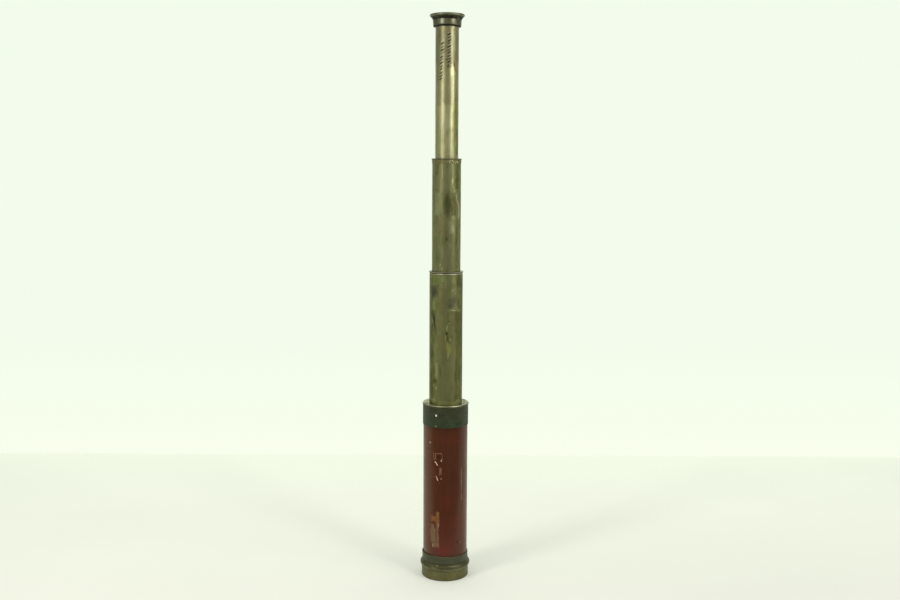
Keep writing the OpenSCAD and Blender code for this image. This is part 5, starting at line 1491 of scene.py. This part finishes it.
def ornament(length, height, period, flourish, width):
    """A running border of leaning leaves, each with a bright cut edge beside it, a painted highlight,
    in flat (along, across) mm. Returns pen strokes of (points (x, y, width), bright)."""
    strokes = []
    count = int(length / period)
    lean = 0.27 * height
    for k in range(count):
        x0 = period * (k + 0.5 + 0.10 * math.sin(2.3 * k + 1))
        tall = height * (0.5 if k % 4 != 1 else 0.60) * (1 + 0.14 * math.sin(1.7 * k + 0.4))
        pen = width * (1 + 0.28 * math.sin(2.9 * k + 0.5))
        leaf, edge = [], []
        for i in range(13):
            t = -1 + i / 6
            wave = math.sin(math.pi * t)
            fat = 0.30 + 0.70 * max(math.cos(t * math.pi / 2), 0.0) ** 0.8
            leaf.append((x0 + lean * t + 0.22 * wave, tall * t, pen * fat))
            edge.append((x0 + period * 0.48 + lean * t * 0.9 + 0.15 * wave,
                         tall * 0.66 * t, width * 0.46 * fat))
        strokes += [(leaf, False), (edge, True)]
        if k < count - 1 and k % 4 == 0:
            # a hairline to the next leaf
            join = []
            for i in range(15):
                t = i / 14
                join.append((x0 + lean + (period - 2 * lean) * t + 0.55 * math.sin(math.pi * t),
                             tall * (1 - 2 * t) + 0.25 * math.sin(2 * math.pi * t), 0.18))
            strokes.append((join, False))
    if flourish:
        curl = []
        for i in range(41):
            t = i / 40
            turn = math.radians(75 + 300 * t)
            radius = height * (0.62 - 0.34 * t)
            curl.append((-height * 0.62 + radius * math.cos(turn) * 0.9,
                         radius * math.sin(turn), width * (0.62 - 0.30 * t)))
        stem = [(-height * 1.25, -height * 0.62, 0.2), (-height * 0.62, -height * 0.12, width * 0.7),
                (height * 0.02, height * 0.50, width * 0.75), (height * 0.35, height * 0.74, 0.2)]
        strokes += [(curl, False), (stem, False)]
    return strokes


def engrave(name, bright, mat):
    """Lays the bright or the dark strokes on the dented tube as thin bars."""
    face = tube_1.outer
    verts, faces = [], []
    for angle, twist, z0, length, height, period, flourish, width in ENGRAVED_ROWS:
        for points, is_bright in ornament(length, height, period, flourish, width):
            if is_bright != bright:
                continue
            pen = np.array(points)
            path, widths = pen[:, :2], pen[:, 2]
            along = np.gradient(path, axis=0)
            along /= np.maximum(np.linalg.norm(along, axis=1, keepdims=True), 1e-9)
            sideways = np.stack([-along[:, 1], along[:, 0]], 1)
            base = len(verts)
            for i in range(len(path)):
                for side, drop in ((1, 0), (-1, 0), (-1, STROKE_DEPTH), (1, STROKE_DEPTH)):
                    x, y = path[i] + sideways[i] * side * widths[i] / 2
                    turn = math.radians(angle + twist * (x / length - 0.5)) + y / face
                    at = Points(np.array([math.degrees(turn)]), np.array([z0 + x]), None, face)
                    surface = face + float(tube_dents(at, DRAW_1_HOLLOWS, **DRAW_1_NOISE)[0])
                    radius = min(surface + (0.020 if bright else 0.03), face + 0.01) - drop
                    verts.append((radius * math.sin(turn) * MM, -radius * math.cos(turn) * MM,
                                  (z0 + x) * MM))
            for i in range(len(path) - 1):
                b = base + 4 * i
                for j in range(4):
                    faces.append((b + j, b + (j + 1) % 4, b + 4 + (j + 1) % 4, b + 4 + j))
            faces.append((base + 3, base + 2, base + 1, base))
            end = base + 4 * (len(path) - 1)
            faces.append((end, end + 1, end + 2, end + 3))
    ob = new_object(name, verts, faces, mat)
    bm = bmesh.new()
    bm.from_mesh(ob.data)
    bmesh.ops.recalc_face_normals(bm, faces=bm.faces)
    bm.to_mesh(ob.data)
    bm.free()
    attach(ob, "draw_1")


engrave("draw_1_engraving", False, black_wax)
engrave("draw_1_engraving_highlit_edges", True, edge_highlight_paint)

# ------------------------------------------------------------------ the CAD pieces that stay
KEPT = (
    (turned_brass, """barrel_guide_sleeve draw_3_guide_sleeve draw_2_guide_sleeve draw_3_stop_ring
        draw_2_stop_ring draw_1_stop_ring objective_retaining_ring erector_tube erector_lower_cell
        erector_lower_ring erector_upper_cell erector_upper_ring eyepiece_tube field_lens_cell
        field_lens_ring eye_lens_cell eye_lens_ring shutter_leaf shutter_pivot_screw lens_spacer
        shutter_knob"""),
    (screw_heads, "upper_ferrule_screws"),
    (cup_brass, "eye_face_plate"),
    (black_brass, "draw_3_baffle draw_2_baffle erector_stop eyepiece_field_stop"),
    (lens_glass, """crown_lens flint_lens erector_lower_lens erector_upper_lens field_lens
        eye_lens"""),
)
for mat, names in KEPT:
    for name in names.split():
        materials = CAD[name].data.materials
        materials.clear()
        materials.append(mat)

# ------------------------------------------------------------------ floor and wall, in metres
PALE = srgb(243, 252, 236)
# far and near colours
FLOOR_DIFFUSE = ((0.80, 0.82, 0.72, 1), (0.80, 0.80, 0.73, 1))
FLOOR_GLOW = ((0.150, 0.160, 0.165, 1), (0.112, 0.104, 0.102, 1))
WALL_Y = 0.583
WALL_HALF = 0.88
FLOOR_HALF = 4


def paper(name, colours, gloss, middle=None, ends_at=None):
    """Diffuse paper that glows a little, and can't be seen from behind.
    gloss: how much of the glow reflections see; middle: the same for the part near x = 0.
    ends_at: reflections see the paper end at this y, and a dim room on the side towards -Y."""
    mat = bpy.data.materials.new(name)
    g = Graph(mat)
    diffuse, glow = colours(g)
    geometry = g.node("NewGeometry").node.outputs
    level = g.slope(g.node("LightPath", output="Is Glossy Ray"), 0.0, 1.0, 1.0, gloss)
    if middle is not None:
        x, _, _ = g.split(geometry["Position"])
        off = g.node("Math", {0: x}, operation="ABSOLUTE")
        g.put(level.node.inputs["To Max"], g.step(off, 0.16, 0.66, middle, gloss))
    front = g.node("AddShader", {0: g.node("BsdfDiffuse", {"Color": diffuse}),
                                 1: g.node("Emission", {"Color": glow, "Strength": level})})
    shader = g.node("MixShader", {0: geometry["Backfacing"], 1: front,
                                  2: g.node("BsdfTransparent")})
    if ends_at is not None:
        _, y, _ = g.split(geometry["Position"])
        beyond = g.step(y, ends_at - 0.05, ends_at + 0.02, 1.0, 0.0)
        reflected = g.node("LightPath", output="Is Glossy Ray")
        both = g.node("Math", {0: beyond, 1: reflected}, operation="MULTIPLY")
        dim = g.node("Emission", {"Color": (0.13, 0.13, 0.11, 1)})
        shader = g.node("MixShader", {0: both, 1: shader, 2: dim})
    g.end("Material", shader)
    return mat


def floor_colours(g):
    """Faintly mottled, tinted towards the front, and darker at the front right: painted shade."""
    coord = g.node("TexCoord", output="Object")
    noise = g.node("TexNoise", {"Vector": coord, "Scale": 5.0, "Detail": 5.0})
    mottle = g.slope(noise, 0.0, 1.0, 0.975, 1.02)
    x, y, _ = g.split(coord)
    near_front = g.slope(y, 0.5, -0.1)
    # right and close darken the front right of the floor: painted shade
    right = g.slope(x, 0.06, 0.30, 0.0, -0.055)
    close = g.slope(y, 0.25, -0.05)
    darker = g.node("Math", {0: right, 1: close}, operation="MULTIPLY")
    scale = g.node("Math", {0: darker, 1: mottle}, operation="ADD")
    return [g.node("VectorMath", {0: g.mix(near_front, far, near_colour), "Scale": scale},
                   operation="SCALE") for far, near_colour in (FLOOR_DIFFUSE, FLOOR_GLOW)]


def wall_colours(g):
    """The paper glows a little more just above the floor: painted light."""
    _, _, z = g.split(g.node("TexCoord", output="Object"))
    warmer = (PALE[0] * 1.045, PALE[1] * 1.022, PALE[2] * 0.995, 1)
    black = g.node("RGB")
    black.default_value = (0.0, 0.0, 0.0, 1)
    return black, g.mix(g.slope(z, 0.22, 0.02), PALE, warmer)


floor = new_object(
    "floor", [(x * FLOOR_HALF, y * FLOOR_HALF, 0) for x, y in ((-1, -1), (1, -1), (1, 1), (-1, 1))],
    [(0, 1, 2, 3)], paper("floor_paper", floor_colours, gloss=1.0, ends_at=-0.12))
wall = new_object(
    "wall", [(-WALL_HALF, WALL_Y, -0.02), (WALL_HALF, WALL_Y, -0.02), (WALL_HALF, WALL_Y, 1.6),
             (-WALL_HALF, WALL_Y, 1.6)],
    [(0, 1, 2, 3)], paper("wall_paper", wall_colours, gloss=0.32, middle=0.95))


# ------------------------------------------------------------------ world, lights and camera
# azimuth from the camera's side (0 in front, 1 behind the object), brightness
HORIZON = [(0.20, 0.25), (0.34, 0.28), (0.50, 0.22), (0.62, 0.24), (0.72, 0.26), (0.84, 0.40),
           (1.0, 0.45)]


def world():
    """A dim room that brightens overhead, and plain pale paper to the camera."""
    studio = bpy.data.worlds.new("studio")
    bpy.context.scene.world = studio
    g = Graph(studio)
    x, y, z = g.split(g.node("TexCoord", output="Generated"))
    forward = g.node("Math", {0: y, 1: -1}, operation="MULTIPLY")
    sideways = g.node("Math", {0: x}, operation="ABSOLUTE")
    azimuth = g.node("Math", {0: sideways, 1: forward}, operation="ARCTAN2")
    azimuth = g.node("Math", {0: azimuth, 1: math.pi}, operation="DIVIDE")
    horizon = g.node("ValToRGB", {0: azimuth})
    stops = horizon.node.color_ramp.elements
    while len(stops) > 1:
        stops.remove(stops[-1])
    stops[0].position = 0.0
    stops[0].color = (0.24, 0.24, 0.24, 1)
    for position, value in HORIZON:
        stops.new(position).color = (value * 0.97, value * 1.0, value * 0.93, 1)
    sky = g.mix(g.slope(z, 0.15, 0.8), horizon, (0.70, 0.73, 0.67, 1))
    seen = g.mix(g.node("LightPath", output="Is Camera Ray"), sky, PALE)
    g.end("World", g.node("Background", {0: seen}))


def softbox(name, azimuth, distance, z, width, height, power, mirrored):
    """An area light aimed at the middle of the object; mirrored ones show in reflections."""
    turn = math.radians(azimuth)
    light = bpy.data.lights.new(name, "AREA")
    light.shape = "RECTANGLE"
    light.size, light.size_y = width, height
    light.energy = power
    light.color = (0.99, 1.0, 0.95)
    ob = bpy.data.objects.new(name, light)
    ob.location = (distance * math.sin(turn), -distance * math.cos(turn), z)
    ob.visible_camera = False
    ob.visible_glossy = mirrored
    bpy.context.scene.collection.objects.link(ob)
    aim = Vector((0 - ob.location[0], 0 - ob.location[1], 0.42 - z))
    ob.rotation_euler = aim.to_track_quat("-Z", "Y").to_euler()


def camera():
    data = bpy.data.cameras.new("camera")
    data.sensor_width = 36.0
    data.lens = 41.2
    data.clip_start, data.clip_end = 0.05, 50
    ob = bpy.data.objects.new("camera", data)
    ob.location = (0.00505, -1.308, 0.516)
    tilt = Euler((math.radians(90 - 6.7), 0, 0)).to_matrix().to_4x4()
    roll = Matrix.Rotation(math.radians(0.28), 4, "Z")
    ob.matrix_world = Matrix.Translation(ob.location) @ tilt @ roll
    bpy.context.scene.collection.objects.link(ob)
    bpy.context.scene.camera = ob


world()
softbox("softbox_left", azimuth=-43, distance=1.45, z=1.08, width=0.82, height=1.15, power=3.4,
        mirrored=True)
softbox("softbox_right", azimuth=56, distance=1.45, z=1.08, width=0.92, height=1.15, power=4.6,
        mirrored=True)
# the lamps behind the softboxes draw the two soft shadows on the paper
softbox("lamp_left", azimuth=-49, distance=1.60, z=1.35, width=0.36, height=0.36, power=7.2,
        mirrored=False)
softbox("lamp_right", azimuth=43, distance=1.60, z=1.35, width=0.40, height=0.40, power=5.6,
        mirrored=False)
camera()

scene = bpy.context.scene
scene.view_settings.view_transform = "Standard"
scene.view_settings.look = "None"
scene.cycles.use_denoising = True
scene.cycles.max_bounces = 10
scene.cycles.transparent_max_bounces = 12
